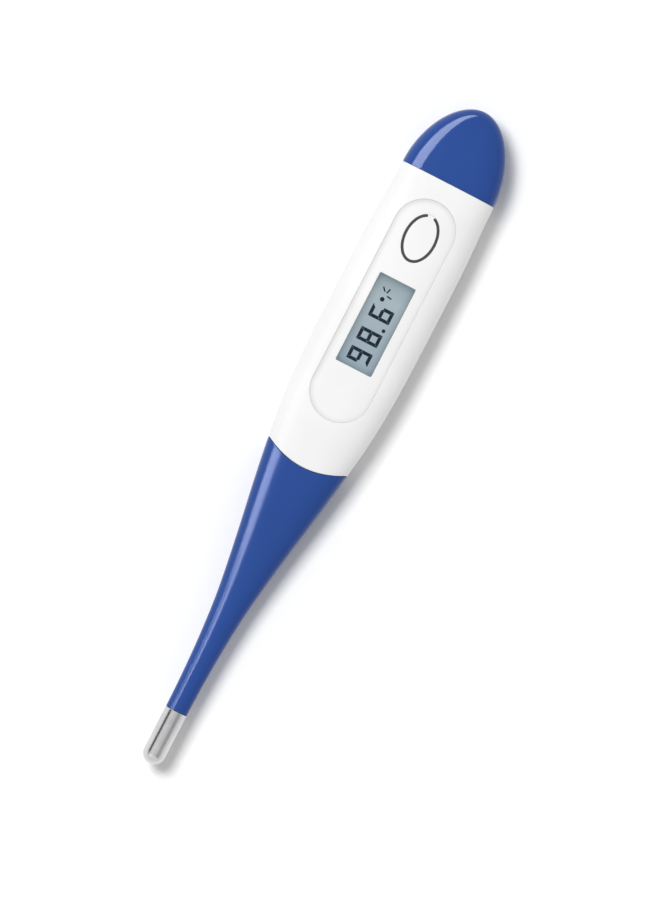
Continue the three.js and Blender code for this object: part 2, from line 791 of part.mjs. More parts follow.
addPiece('stem_root', stemRoot(), blueRubber, stem);
hingeXs.forEach((_, i) => addPiece(`stem_link_${i + 1}`, stemLink(i), blueRubber, stem));
addPiece('sensor_tip', sensorTip(), steel, stem);
addPiece('thermistor', thermistorBead(), blackPlastic, stem);
addPiece('tip_filler', tipFiller(), epoxy, stem);
addPiece('lead_wire_left', leadWire(1), redWire, stem);
addPiece('lead_wire_right', leadWire(-1), blackWire, stem);

export default assembly;
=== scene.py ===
import json
import math

import bmesh
import bpy
import numpy as np
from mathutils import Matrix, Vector
from mathutils.geometry import delaunay_2d_cdt


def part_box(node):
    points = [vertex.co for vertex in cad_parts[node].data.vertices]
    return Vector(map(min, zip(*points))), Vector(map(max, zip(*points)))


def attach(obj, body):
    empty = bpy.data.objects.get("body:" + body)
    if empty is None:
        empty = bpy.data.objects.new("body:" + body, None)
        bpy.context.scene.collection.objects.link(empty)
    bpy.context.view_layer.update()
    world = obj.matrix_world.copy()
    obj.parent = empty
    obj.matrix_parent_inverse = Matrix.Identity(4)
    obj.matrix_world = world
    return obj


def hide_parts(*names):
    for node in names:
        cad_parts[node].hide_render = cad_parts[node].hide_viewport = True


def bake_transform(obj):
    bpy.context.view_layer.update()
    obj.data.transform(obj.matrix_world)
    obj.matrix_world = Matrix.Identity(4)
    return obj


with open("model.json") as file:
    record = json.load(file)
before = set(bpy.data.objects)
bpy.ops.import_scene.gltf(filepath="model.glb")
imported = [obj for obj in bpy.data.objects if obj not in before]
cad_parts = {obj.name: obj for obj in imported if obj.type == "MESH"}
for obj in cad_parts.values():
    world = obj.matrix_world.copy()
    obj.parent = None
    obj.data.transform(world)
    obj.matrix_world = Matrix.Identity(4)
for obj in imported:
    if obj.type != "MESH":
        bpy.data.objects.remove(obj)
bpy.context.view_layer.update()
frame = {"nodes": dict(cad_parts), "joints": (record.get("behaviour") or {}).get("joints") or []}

# Looks for a flexible-tip digital thermometer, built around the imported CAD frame.
# Shapes are worked out in millimetres and put into meshes in metres.

MM = 0.001


def box_mm(node):
    """Lowest and highest corner of a CAD node, in millimetres."""
    low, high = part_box(node)
    return np.array(low) / MM, np.array(high) / MM


# ---- Sizes from the frame ----

COVER_X, CAP_X = (corner[0] for corner in box_mm("battery_cover"))
TIP_X, TIP_NECK_X = (corner[0] for corner in box_mm("sensor_tip"))
NOSE_X, SPIGOT_X = (corner[0] for corner in box_mm("housing"))
PANEL_LOW, PANEL_HIGH = box_mm("front_panel")
PANEL_RADIUS = (PANEL_HIGH[1] - PANEL_LOW[1]) / 2
LENS_LOW, LENS_HIGH = box_mm("display_window")
KEY_LOW, KEY_HIGH = box_mm("power_button")
KEY_CENTRE_X = (KEY_LOW[0] + KEY_HIGH[0]) / 2
KEY_HALF_X, KEY_HALF_Y = (KEY_HIGH[:2] - KEY_LOW[:2]) / 2
GLASS_LOW, GLASS_HIGH = box_mm("display_glass")
CELL_LOW, CELL_HIGH = box_mm("button_cell")
SEAL_LOW, SEAL_HIGH = box_mm("cover_seal")
BUZZER_LOW, BUZZER_HIGH = box_mm("piezo_buzzer")
BOARD_TOP = box_mm("circuit_board")[1][2]
HINGES = [joint for joint in frame["joints"] if joint["name"].startswith("stem_bend")]
HINGE_XS = [joint["pos_m"][0] / MM for joint in HINGES]
AXIS_Z = HINGES[0]["pos_m"][2] / MM

# ---- The outer form, as in the CAD model ----

ROUND_STEM_X, SQUARED_BODY_X, BODY_SQUARENESS = -45, 5, 2.8
COVER_PLAN_POWER, COVER_SIDE_POWER = 1.9, 2.5
COVER_WALL, SLIDE_GAP = 1.1, 0.25
SPIGOT_INSET, SPIGOT_WALL, SPIGOT_LIP = COVER_WALL + SLIDE_GAP, 1.2, 0.2
BORE_INSET, BORE_EDGE = SPIGOT_INSET + SPIGOT_WALL, 0.1
GROOVE_DEPTH, GROOVE_GAP = 0.5, 0.1
HANDLE_END_X = 51.4
CAVITY_START_X, CAVITY_END_X = -1, HANDLE_END_X - 0.2
CAVITY_SQUARENESS, CAVITY_DROP = 4, 0.05
SIDE_WALL, TOP_WALL = 1.4, 1.8
NOSE_INSET, LEAD_BORE_RADIUS = 1.5, 1.3
SEAM_X, SEAM_BOW, SEAM_GAP = -3.7, 2.25, 0.05
RECESS_DEPTH, PANEL_SINK, PANEL_THICKNESS = 0.9, 0.3, 0.5
PANEL_GAP, CAD_PANEL_GAP, KEY_GAP = 0.015, 0.3, 0.02
LAND_START_X, LAND_END_X, LAND_HALF_WIDTH, LAND_FADE = 8.5, 50.5, 3.6, 0.7
SMALLEST_HALF, SMALLEST_CORNER = 0.02, 0.02


def smoothstep(t):
    return t * t * (3 - 2 * t)


def smooth_profile(points):
    """A smooth function through (x, value) points, level at both ends."""
    xs, ys = np.array(points, float).T
    slopes = np.zeros(len(xs))
    slopes[1:-1] = (ys[2:] - ys[:-2]) / (xs[2:] - xs[:-2])

    def value(x):
        x = np.clip(x, xs[0], xs[-1])
        i = np.clip(np.searchsorted(xs, x, side="right") - 1, 0, len(xs) - 2)
        span = xs[i + 1] - xs[i]
        t = (x - xs[i]) / span
        bend = slopes[i] * t * (1 - t) ** 2 - slopes[i + 1] * t * t * (1 - t)
        return ys[i] + (ys[i + 1] - ys[i]) * smoothstep(t) + span * bend

    return value


half_width_at = smooth_profile([
    (-55.4, 2.1), (-46, 2.33), (-38.4, 2.8), (-32, 3.45), (-22, 4.98), (-12, 6.7),
    (-4, 7.95), (4, 8.98), (13, 9.55), (24, 9.7), (38, 9.68), (51.7, 9.25),
])
half_thickness_at = smooth_profile([
    (-55.4, 2.1), (-46, 2.3), (-38.4, 2.6), (-32, 2.9), (-22, 3.6), (-12, 4.35),
    (-4, 4.95), (2, 5.45), (8, 5.78), (16, 5.9), (44, 5.9), (51.7, 5.75),
])


def section(x, inset=0.0):
    """Half width, half thickness and squareness of the outer form at x."""
    reach = np.clip((x - COVER_X) / (CAP_X - COVER_X), 0, 1)
    width = half_width_at(x) * (1 - reach**COVER_PLAN_POWER) ** (1 / COVER_PLAN_POWER)
    thickness = half_thickness_at(x) * (1 - reach**COVER_SIDE_POWER) ** (1 / COVER_SIDE_POWER)
    t = np.clip((x - ROUND_STEM_X) / (SQUARED_BODY_X - ROUND_STEM_X), 0, 1)
    squareness = 2 + (BODY_SQUARENESS - 2) * smoothstep(t)
    return (np.maximum(width - inset, SMALLEST_HALF), np.maximum(thickness - inset, SMALLEST_HALF),
            squareness)


def oval_points(x, angle, width, thickness, squareness, middle_z):
    """Points of a superellipse across the axis, at angles round it."""
    y, z = (half * np.sign(part) * np.abs(part) ** (2 / squareness)
            for half, part in ((width, np.cos(angle)), (thickness, np.sin(angle))))
    return np.stack([np.broadcast_to(x, y.shape), y, middle_z + z], -1)


def form_points(x, angle, inset=0.0):
    """Points of the outer form at x and angles round the axis, drawn in by an inset."""
    points = oval_points(x, angle, *section(x, inset), AXIS_Z)
    if inset == 0:
        below = np.sin(angle) < 0
        points[below, 2] *= land_lift(points[below, 0], points[below, 1])
    points[:, 2] = np.maximum(points[:, 2], 0)
    return points


def land_lift(x, y):
    """0 over the flat land under the handle, rising to 1 round it."""
    outside = np.maximum(np.maximum(LAND_START_X - x, x - LAND_END_X), np.abs(y) - LAND_HALF_WIDTH)
    return smoothstep(np.clip(outside / LAND_FADE, 0, 1))


def cavity_points(x, angle):
    """Points of the handle's inner wall."""
    width, thickness = section(x)[:2]
    return oval_points(x, angle, width - SIDE_WALL, thickness - TOP_WALL, CAVITY_SQUARENESS,
                       AXIS_Z - CAVITY_DROP)


def arch(across, squareness):
    """Height of a superellipse at a share of its half width."""
    return (1 - np.clip(np.abs(across), 0, 1) ** squareness) ** (1 / squareness)


def form_top(x, y, inset=0.0):
    """Height of the outer form's upper side over a plan point."""
    width, thickness, squareness = section(x, inset)
    return AXIS_Z + thickness * arch(y / width, squareness)


def cavity_top(x, y):
    """Height of the handle's inner wall over a plan point."""
    width, thickness = section(x)[:2]
    rise = arch(y / (width - SIDE_WALL), CAVITY_SQUARENESS)
    return AXIS_Z - CAVITY_DROP + (thickness - TOP_WALL) * rise


def seam_x(y):
    """X of the bowed seam between handle and stem."""
    bow = SEAM_BOW * (1 - (y / half_width_at(SEAM_X)) ** 2)
    return SEAM_X - np.maximum(bow, 0)


def form_rings(steps, angles):
    """Rings of the outer form at (x, inset) steps."""
    return [form_points(x, angles, inset) for x, inset in steps]


def edge_rows(x, angles, radius, toward):
    """Rows that round an edge of the form, from its end face to its surface. The body lies
    toward +1 or -1 along X."""
    turns = np.linspace(0, math.pi / 2, 5)
    return form_rings([(x + toward * radius * (1 - math.cos(turn)), radius * (1 - math.sin(turn)))
                       for turn in turns], angles)


# ---- Mesh building ----

WELD_DISTANCE = 2e-6
PATCH_MARGIN = 0.25
ROUNDING = np.linspace(0, math.pi / 2, 6)


def round_angles(count):
    return 2 * np.pi * np.arange(count) / count


def at_height(loop, z):
    return np.column_stack([loop, np.broadcast_to(z, len(loop))])


def flat(z):
    return lambda x, y: np.full(np.shape(x), float(z))


def raised(height, rise):
    """A height function that lies above another."""
    return lambda x, y: height(x, y) + rise


def add_object(name, data):
    piece = bpy.data.objects.new(name, data)
    bpy.context.scene.collection.objects.link(piece)
    return piece


def mesh_object(mesh, work, sharp_degrees):
    """Writes a bmesh into a mesh, smooth but for its sharp edges, and makes the mesh's object."""
    work.to_mesh(mesh)
    work.free()
    mesh.shade_smooth()
    mesh.set_sharp_from_angle(angle=math.radians(sharp_degrees))
    return add_object(mesh.name, mesh)


class Shell:
    """Gathers grids, patches and loops of points, in millimetres, into one welded mesh."""

    def __init__(self):
        self.points = []
        self.faces = []

    def add(self, points, faces, flip=False):
        start = sum(len(block) for block in self.points)
        self.points.append(np.asarray(points, float).reshape(-1, 3))
        step = -1 if flip else 1
        self.faces.extend([start + i for i in face][::step] for face in faces)

    def grid(self, rows, closed=True, flip=False):
        """Joins rows of points, each row a ring when closed."""
        count = len(rows[0])
        faces = []
        for base in range(0, (len(rows) - 1) * count, count):
            for i in range(count if closed else count - 1):
                j = (i + 1) % count
                faces.append([base + i, base + j, base + count + j, base + count + i])
        self.add(np.concatenate(rows), faces, flip)

    def fan(self, ring, centre, flip=False):
        """Closes a ring with triangles to its centre."""
        count = len(ring)
        faces = [[i, (i + 1) % count, count] for i in range(count)]
        self.add(np.vstack([ring, centre]), faces, flip)

    def prism(self, loop, bottom, top):
        """A closed solid with flat ends over a plan loop."""
        centre = loop.mean(0)
        self.fan(at_height(loop, top), [*centre, top])
        self.fan(at_height(loop, bottom), [*centre, bottom], flip=True)
        self.grid([at_height(loop, bottom), at_height(loop, top)])

    def wall(self, loop, bottom, top, steps=2):
        """Joins two height functions along a plan loop."""
        lower, upper = bottom(*loop.T), top(*loop.T)
        self.grid([at_height(loop, lower + (upper - lower) * share)
                   for share in np.linspace(0, 1, steps)])

    def build(self, name, sharp_degrees=35):
        mesh = bpy.data.meshes.new(name)
        mesh.from_pydata((np.concatenate(self.points) * MM).tolist(), [], self.faces)
        work = bmesh.new()
        work.from_mesh(mesh)
        bmesh.ops.remove_doubles(work, verts=work.verts, dist=WELD_DISTANCE)
        bmesh.ops.dissolve_degenerate(work, edges=work.edges, dist=1e-7)
        bmesh.ops.recalc_face_normals(work, faces=work.faces)
        return mesh_object(mesh, work, sharp_degrees)


def inside_loop(points, loop):
    """Which plan points lie inside a closed plan loop."""
    x, y = points.T
    result = np.zeros(len(points), bool)
    for (x0, y0), (x1, y1) in zip(loop, np.roll(loop, -1, axis=0)):
        if y0 != y1:
            crosses = (y0 > y) != (y1 > y)
            result ^= crosses & (x < (x1 - x0) * (y - y0) / (y1 - y0) + x0)
    return result


def inside_region(points, outline, holes):
    """Which plan points lie inside the outline and outside every hole."""
    result = inside_loop(points, outline)
    for hole in holes:
        result &= ~inside_loop(points, hole)
    return result


def patch(shell, loops, outline, holes, height, spacing=0.7, flip=False):
    """Fills a plan region with triangles. loops are (plan loop, drop) pairs that the triangles
    keep as edges, drop being how far the loop lies below height(x, y)."""
    plan, drops, edges = [], [], []
    for loop, drop in loops:
        start, count = len(plan), len(loop)
        plan.extend(loop)
        drops.extend([drop] * count)
        edges.extend((start + i, start + (i + 1) % count) for i in range(count))
    base = np.array(plan)
    low, high = outline.min(0) + spacing / 2, outline.max(0)
    columns, rows = (np.arange(low[i], high[i], spacing) for i in (0, 1))
    free = np.stack(np.meshgrid(columns, rows), -1).reshape(-1, 2)
    free = free[inside_region(free, outline, holes)]
    gaps = np.linalg.norm(free[:, None] - base[None], axis=2)
    clear = gaps.min(1) > PATCH_MARGIN
    levels = np.array(drops)[gaps[clear].argmin(1)]
    all_points = [Vector(p) for p in np.vstack([base, free[clear]]).tolist()]
    all_drops = np.concatenate([drops, levels])
    found = delaunay_2d_cdt(all_points, edges, [], 0, 1e-5)
    verts, faces, origins = np.array([v[:] for v in found[0]]), found[2], found[3]
    drop = np.array([all_drops[origin[0]] if origin else 0 for origin in origins])
    centres = np.array([verts[list(face)].mean(0) for face in faces])
    used = inside_region(centres, outline, holes)
    z = height(*verts.T) - drop
    shell.add(np.column_stack([verts, z]), [f for f, keep in zip(faces, used) if keep], flip)


def arc_points(centre, radius, angles):
    return np.stack([centre[0] + radius * np.cos(angles), centre[1] + radius * np.sin(angles)], -1)


def join_arcs(arcs, count):
    """Closes arcs into one loop with straight lines of evenly spaced points."""
    shares = np.linspace(0, 1, count)[1:-1, None]
    loop = []
    for arc, following in zip(arcs, arcs[1:] + arcs[:1]):
        loop += [arc, arc[-1] + (following[0] - arc[-1]) * shares]
    return np.vstack(loop)


def stadium(grow=0.0):
    """The panel's outline, a slot shape with round ends."""
    ends = ((PANEL_HIGH[0] - PANEL_RADIUS, -0.5), (PANEL_LOW[0] + PANEL_RADIUS, 0.5))
    return join_arcs([
        arc_points((x, 0), PANEL_RADIUS + grow, np.pi * (start + np.linspace(0, 1, 40)))
        for x, start in ends], 50)


def ellipse(centre_x, half_x, half_y):
    return np.array([centre_x, 0]) + arc_points((0, 0), 1, round_angles(96)) * (half_x, half_y)


def rounded_box(low, high, radius, grow=0.0):
    """A plan rectangle with round corners."""
    radius = max(radius + grow, SMALLEST_CORNER)
    (left, front), (right, back) = low[:2] - grow + radius, high[:2] + grow - radius
    corners = ((right, front, -0.5), (right, back, 0), (left, back, 0.5), (left, front, 1))
    return join_arcs([
        arc_points((x, y), radius, np.pi * (start + np.linspace(0, 0.5, 8)))
        for x, y, start in corners], 24)


def plate(name, outline, holes, top, bottom, edge=0.15, spacing=0.7):
    """A closed plate with rounded upper edges. outline(grow) and each hole(grow) give plan loops,
    top and bottom give heights."""
    shell = Shell()
    loops = [(shape(sign * edge * (1 - math.sin(turn))), edge * (1 - math.cos(turn)))
             for shape, sign in [(outline, -1)] + [(hole, 1) for hole in holes] for turn in ROUNDING]
    walls = [shape(0) for shape in [outline, *holes]]
    patch(shell, loops, walls[0], walls[1:], top, spacing)
    patch(shell, [(loop, 0) for loop in walls], walls[0], walls[1:], bottom, spacing * 1.5, flip=True)
    for loop in walls:
        shell.wall(loop, bottom, raised(top, -edge), 3)
    return shell.build(name)


def lathe(name, profile, around=96, sharp_degrees=35, centre=(0, AXIS_Z), axis="x"):
    """Turns (radius, along) points about an axis along X or Z. centre is the axis's place in the
    other two directions."""
    shell = Shell()
    rings = [at_height(arc_points(centre, radius, round_angles(around)), along)
             for radius, along in profile]
    order = [2, 0, 1] if axis == "x" else [0, 1, 2]
    shell.grid([ring[:, order] for ring in rings])
    return shell.build(name, sharp_degrees)


# ---- Materials ----

WHITE_COLOR = (0.815, 0.815, 0.815)
BLUE_COLOR = (0.024, 0.07, 0.284)
BLUE_SPECULAR = 0.12
DRIFT_SCALE, POLISH_SCALE = 60, 350
PANEL_SHADE_REACH = 1.15
DISPLAY_RIM_RADIUS, DISPLAY_RIM_REACH = 1.8, 1.5


def new_material(name, color, roughness, metallic=0.0, **sockets):
    """A Principled material with its constants on the shader's own sockets."""
    material = bpy.data.materials.new(name)
    material.use_nodes = True
    shader = material.node_tree.nodes["Principled BSDF"]
    shader.inputs["Base Color"].default_value = (*color, 1)
    shader.inputs["Roughness"].default_value = roughness
    shader.inputs["Metallic"].default_value = metallic
    for socket, value in sockets.items():
        shader.inputs[socket.replace("_", " ")].default_value = value
    return material, shader


def link(output, socket):
    socket.id_data.links.new(output, socket)


def add_node(material, kind, linked=None, **values):
    """A node with socket values, and with outputs linked to its sockets."""
    node = material.node_tree.nodes.new("ShaderNode" + kind)
    for socket, value in values.items():
        node.inputs[socket.replace("_", " ")].default_value = value
    for socket, output in (linked or {}).items():
        link(output, node.inputs[socket])
    return node


def own_place(material):
    return add_node(material, "TexCoord").outputs["Object"]


def texture_noise(material, scale, detail=3, stretch=(1, 1, 1)):
    """A noise texture over the piece's own coordinates. Scale is in cycles per metre."""
    mapping = add_node(material, "Mapping", {"Vector": own_place(material)}, Scale=stretch)
    noise = add_node(material, "TexNoise", {"Vector": mapping.outputs["Vector"]}, Scale=scale,
                     Detail=detail)
    return noise.outputs["Fac"]


def ramp(material, factor, stops):
    """A colour ramp over a factor: stops are (position, (r, g, b))."""
    node = add_node(material, "ValToRGB", {"Fac": factor})
    elements = node.color_ramp.elements
    while len(elements) < len(stops):
        elements.new(0.5)
    for element, (position, color) in zip(elements, stops):
        element.position = position
        element.color = (*color, 1)
    return node.outputs["Color"]


def grey_ramp(material, factor, stops):
    return ramp(material, factor, [(position, (value, value, value)) for position, value in stops])


def vary_roughness(material, shader, factor, low, high):
    node = add_node(material, "MapRange", {"Value": factor}, To_Min=low, To_Max=high)
    link(node.outputs["Result"], shader.inputs["Roughness"])


def add_bump(material, shader, factor, depth):
    node = add_node(material, "Bump", {"Height": factor}, Distance=depth, Strength=1)
    link(node.outputs["Normal"], shader.inputs["Normal"])


def color_drift(material, color, scale, low, high):
    """A colour that drifts between two shades: low and high are (position, factor)."""
    stops = [(position, tuple(min(c * factor, 1) for c in color)) for position, factor in (low, high)]
    return ramp(material, texture_noise(material, scale), stops)


def plastic_drift(material, color):
    return color_drift(material, color, DRIFT_SCALE, (0.35, 0.975), (0.65, 1.02))


def moulded_plastic(name, color, roughness, grain_scale=9000, grain_depth=4e-6, **sockets):
    """Moulded plastic: slight colour drift, patchy polish and a fine tool grain."""
    material, shader = new_material(name, color, roughness, **sockets)
    link(plastic_drift(material, color), shader.inputs["Base Color"])
    polish = texture_noise(material, POLISH_SCALE, detail=4)
    vary_roughness(material, shader, polish, roughness * 0.85, roughness * 1.15)
    add_bump(material, shader, texture_noise(material, grain_scale, detail=2), grain_depth)
    return material


def brushed_metal(name, color, roughness, along=(1, 0.04, 0.04), scale=4000):
    """Drawn or brushed metal: fine lines along one direction and slightly clouded polish."""
    material, shader = new_material(name, color, roughness, 1.0)
    lines = texture_noise(material, scale, detail=5, stretch=along)
    clouds = color_drift(material, color, 300, (0.3, 0.9), (0.7, 1.04))
    link(clouds, shader.inputs["Base Color"])
    vary_roughness(material, shader, lines, roughness * 0.7, roughness * 1.35)
    add_bump(material, shader, lines, 3e-6)
    return material


WHITE = moulded_plastic("white_abs", WHITE_COLOR, 0.3)
KEY_WHITE = moulded_plastic("key_white", WHITE_COLOR, 0.4, grain_scale=12000)
BLUE_COVER = moulded_plastic(
    "blue_cover", BLUE_COLOR, 0.1, grain_depth=5e-7, Specular_IOR_Level=BLUE_SPECULAR)
BLUE_STEM = moulded_plastic(
    "blue_stem", BLUE_COLOR, 0.2, grain_depth=4e-7, Specular_IOR_Level=BLUE_SPECULAR)
INK = moulded_plastic("ring_ink", (0.06, 0.06, 0.062), 0.5)
DISPLAY_INK = moulded_plastic("display_ink", (0.006, 0.015, 0.03), 0.4, Specular_IOR_Level=0.0)
BOARD = moulded_plastic("board_mask", (0.03, 0.16, 0.06), 0.35)
BLACK = moulded_plastic("black_moulding", (0.015, 0.015, 0.017), 0.45)
RESIN = moulded_plastic("cast_resin", (0.012, 0.012, 0.013), 0.25)
RUBBER = moulded_plastic("seal_rubber", (0.02, 0.02, 0.02), 0.7, grain_depth=8e-6)
NATURAL = moulded_plastic("natural_abs", (0.72, 0.7, 0.62), 0.45)
FRAME_WHITE = moulded_plastic("frame_white", (0.78, 0.78, 0.78), 0.45)
CERAMIC = moulded_plastic("ceramic", (0.45, 0.34, 0.2), 0.4)
EPOXY = moulded_plastic("potting", (0.16, 0.1, 0.05), 0.35)
WIRE_RED = moulded_plastic("wire_red", (0.4, 0.03, 0.025), 0.4)
WIRE_BLACK = moulded_plastic("wire_black", (0.02, 0.02, 0.02), 0.4)
STAINLESS = brushed_metal("stainless", (0.66, 0.66, 0.67), 0.22)
NICKEL = brushed_metal("nickel", (0.68, 0.67, 0.64), 0.25)
CELL_STEEL = brushed_metal("cell_steel", (0.7, 0.7, 0.71), 0.2, along=(1, 1, 1), scale=2500)
BRASS = brushed_metal("brass_disc", (0.75, 0.56, 0.26), 0.3, along=(1, 1, 1))


def painted_shade_falloff(material, low, high, radius, reach):
    """0 on a plan outline, rising to 1 at a reach inside it; it places painted shade near the outline.
    low and high are the outline's corners and radius rounds them, in millimetres."""
    centre, half = (high + low) / 2 * MM, (high - low) / 2 * MM
    vector = own_place(material)
    steps = (
        ("SUBTRACT", (centre[0], centre[1], 0)), ("ABSOLUTE", None),
        ("SUBTRACT", (half[0] - radius * MM, half[1] - radius * MM, 0)),
        ("MAXIMUM", (0, 0, 0)), ("MULTIPLY", (1, 1, 0)),
    )
    for operation, other in steps:
        node = add_node(material, "VectorMath", {0: vector})
        node.operation = operation
        if other:
            node.inputs[1].default_value = other
        vector = node.outputs["Vector"]
    length = add_node(material, "VectorMath", {0: vector})
    length.operation = "LENGTH"
    spread = add_node(material, "MapRange", {"Value": length.outputs["Value"]},
                      From_Min=radius * MM, From_Max=(radius - reach) * MM)
    return spread.outputs["Result"]


def multiply(material, first, second):
    node = add_node(material, "Mix", Factor=1)
    node.data_type = "RGBA"
    node.blend_type = "MULTIPLY"
    colors = [socket for socket in node.inputs if socket.type == "RGBA"]
    link(first, colors[0])
    link(second, colors[1])
    return [socket for socket in node.outputs if socket.type == "RGBA"][0]


def panel_material():
    """White plastic with painted shade: its colour darkens in a soft band round the panel's edge, where
    the step meets it.
    """
    material, shader = new_material("panel_white_painted_shade", WHITE_COLOR, 0.36)
    # Painted shade: the colour is darkened in a band just inside the panel's edge.
    inside = painted_shade_falloff(material, PANEL_LOW - CAD_PANEL_GAP, PANEL_HIGH + CAD_PANEL_GAP,
                        PANEL_RADIUS + CAD_PANEL_GAP, PANEL_SHADE_REACH)
    stops = [(0, 0.86), (0.2, 0.87), (0.45, 0.93), (0.7, 0.975), (1, 1)]
    color = multiply(material, plastic_drift(material, WHITE_COLOR), grey_ramp(material, inside, stops))
    link(color, shader.inputs["Base Color"])
    vary_roughness(material, shader, texture_noise(material, POLISH_SCALE, detail=4), 0.3, 0.42)
    add_bump(material, shader, texture_noise(material, 14000, detail=2), 4e-6)
    return material


def display_material():
    """The display's reflective field: blue-grey, with painted light and shade: lighter towards the key,
    and painted shade darkening its ends and rim.
    """
    material, shader = new_material("display_field_painted_shade", (0.33, 0.41, 0.46), 0.35)
    split = add_node(material, "SeparateXYZ", {"Vector": own_place(material)})
    along = add_node(material, "MapRange", {"Value": split.outputs["X"]},
                     From_Min=LENS_LOW[0] * MM, From_Max=LENS_HIGH[0] * MM)
    # Painted light and shade along the field: darker at both ends, lighter towards the key.
    field = ramp(material, along.outputs["Result"], [
        (0.03, (0.31, 0.4, 0.47)), (0.35, (0.335, 0.41, 0.46)), (0.78, (0.37, 0.445, 0.49)),
        (0.97, (0.29, 0.37, 0.41))])
    # Painted shade: the field's colour is darkened round its rim.
    rim = painted_shade_falloff(material, LENS_LOW, LENS_HIGH, DISPLAY_RIM_RADIUS, DISPLAY_RIM_REACH)
    color = multiply(material, field, grey_ramp(material, rim, [(0.1, 0.68), (0.45, 0.86), (1, 1)]))
    link(color, shader.inputs["Base Color"])
    add_bump(material, shader, texture_noise(material, 5000, detail=2), 1e-6)
    return material


def clear_material():
    """Clear acrylic. Light passes straight through it, so the display below stays lit."""
    material, shader = new_material("clear_lens", (0.3, 0.34, 0.36), 0.04, Alpha=0.02)
    vary_roughness(material, shader, texture_noise(material, 500), 0.03, 0.06)
    return material


def finish_piece(piece, material, body=None, nodes=()):
    """Gives a piece its material, and names its body and the nodes it stands for."""
    piece.data.materials.clear()
    piece.data.materials.append(material)
    if body:
        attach(piece, body)
    if nodes:
        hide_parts(*nodes)
    return piece


# ---- Handle shell ----

# The upper face is a patch between these stations and these points of each ring.
PATCH_START_X, PATCH_END_X = 2.4, 49.4
AROUND = 160
PATCH_FIRST, PATCH_LAST = 22, 58
CEILING_FIRST, CEILING_LAST = 20, 60
FACE_XS = np.linspace(PATCH_START_X, PATCH_END_X, 68)
CEILING_XS = np.linspace(PATCH_START_X, PATCH_END_X, 40)
RING = round_angles(AROUND)
RIM_RADIUS, EDGE_RADIUS = 0.1, 0.12
RECESS_DRAFT = 0.02
SEAT_CORNER, SEAT_GAP = 0.35, 0.15


def panel_outline(grow=0.0):
    """The recess wall's plan outline."""
    return stadium(grow + CAD_PANEL_GAP)


def window_seat(grow=0.0):
    return rounded_box(LENS_LOW, LENS_HIGH, SEAT_CORNER, grow + SEAT_GAP)


def key_hole(grow=0.0):
    return ellipse(KEY_CENTRE_X, KEY_HALF_X + grow + KEY_GAP, KEY_HALF_Y + grow + KEY_GAP)


def open_rows(points_at, xs, first, last):
    """Rows over part of the way round, from one point of the ring to another."""
    angles = 2 * np.pi * np.arange(first, last + 1) / AROUND
    return [points_at(x, angles) for x in xs]


def region_loop(rows):
    """The plan loop round a block of open rows."""
    rows = np.array(rows)
    return np.vstack([rows[0], rows[1:-1, -1], rows[-1][::-1], rows[1:-1, 0][::-1]])[:, :2]


def seam_row(share):
    """X at each angle of a row that lies a share of the way from the seam to the patch."""
    x = np.full(AROUND, SEAM_X)
    for _ in range(6):
        start = seam_x(form_points(x, RING)[:, 1]) + SEAM_GAP
        x = start + share * (PATCH_START_X - start)
    return x


def handle_skin(shell):
    """The outside except its upper face, from the bowed seam to the cover's mouth."""
    seam = seam_row(0)
    front = form_rings([(seam, NOSE_INSET)], RING) + edge_rows(seam, RING, EDGE_RADIUS, 1)
    front += [form_points(seam_row(share), RING) for share in np.linspace(0.08, 1, 22)]
    shell.grid(front)
    shell.grid(open_rows(form_points, FACE_XS, PATCH_LAST, AROUND + PATCH_FIRST), closed=False)
    rear_xs = np.linspace(PATCH_END_X, HANDLE_END_X - EDGE_RADIUS, 5)
    rear = form_rings([(x, 0.0) for x in rear_xs], RING)
    shell.grid(rear + edge_rows(HANDLE_END_X, RING, EDGE_RADIUS, -1)[::-1][1:])


def handle_spigot(shell):
    """The ring that the cover slides onto, with a groove for its seal."""
    groove_start, groove_end = SEAL_LOW[0] - GROOVE_GAP, SEAL_HIGH[0] + GROOVE_GAP
    groove_inset = SPIGOT_INSET + GROOVE_DEPTH
    shell.grid(form_rings([
        (HANDLE_END_X, EDGE_RADIUS), (HANDLE_END_X, SPIGOT_INSET), (groove_start, SPIGOT_INSET),
        (groove_start, groove_inset), (groove_end, groove_inset), (groove_end, SPIGOT_INSET),
        (SPIGOT_X - SPIGOT_LIP, SPIGOT_INSET), (SPIGOT_X, SPIGOT_INSET + SPIGOT_LIP),
        (SPIGOT_X, BORE_INSET - BORE_EDGE), (SPIGOT_X - BORE_EDGE, BORE_INSET),
        (CAVITY_END_X, BORE_INSET)], RING))


def handle_cavity(shell):
    """The inside except its ceiling, and the nose with the bore for the leads."""
    rear = [cavity_points(x, RING) for x in np.linspace(CAVITY_END_X, PATCH_END_X, 3)]
    shell.grid([form_points(CAVITY_END_X, RING, BORE_INSET)] + rear)
    lower = open_rows(cavity_points, CEILING_XS, CEILING_LAST, AROUND + CEILING_FIRST)
    shell.grid(lower, closed=False)
    front = [cavity_points(x, RING) for x in np.linspace(PATCH_START_X, CAVITY_START_X, 5)]
    circle = arc_points((0, AXIS_Z), LEAD_BORE_RADIUS, RING)
    bore = [np.column_stack([np.full(AROUND, x), circle]) for x in (CAVITY_START_X, NOSE_X)]
    nose = form_rings([(NOSE_X, NOSE_INSET), (seam_row(0), NOSE_INSET)], RING)
    shell.grid(front + bore + nose)


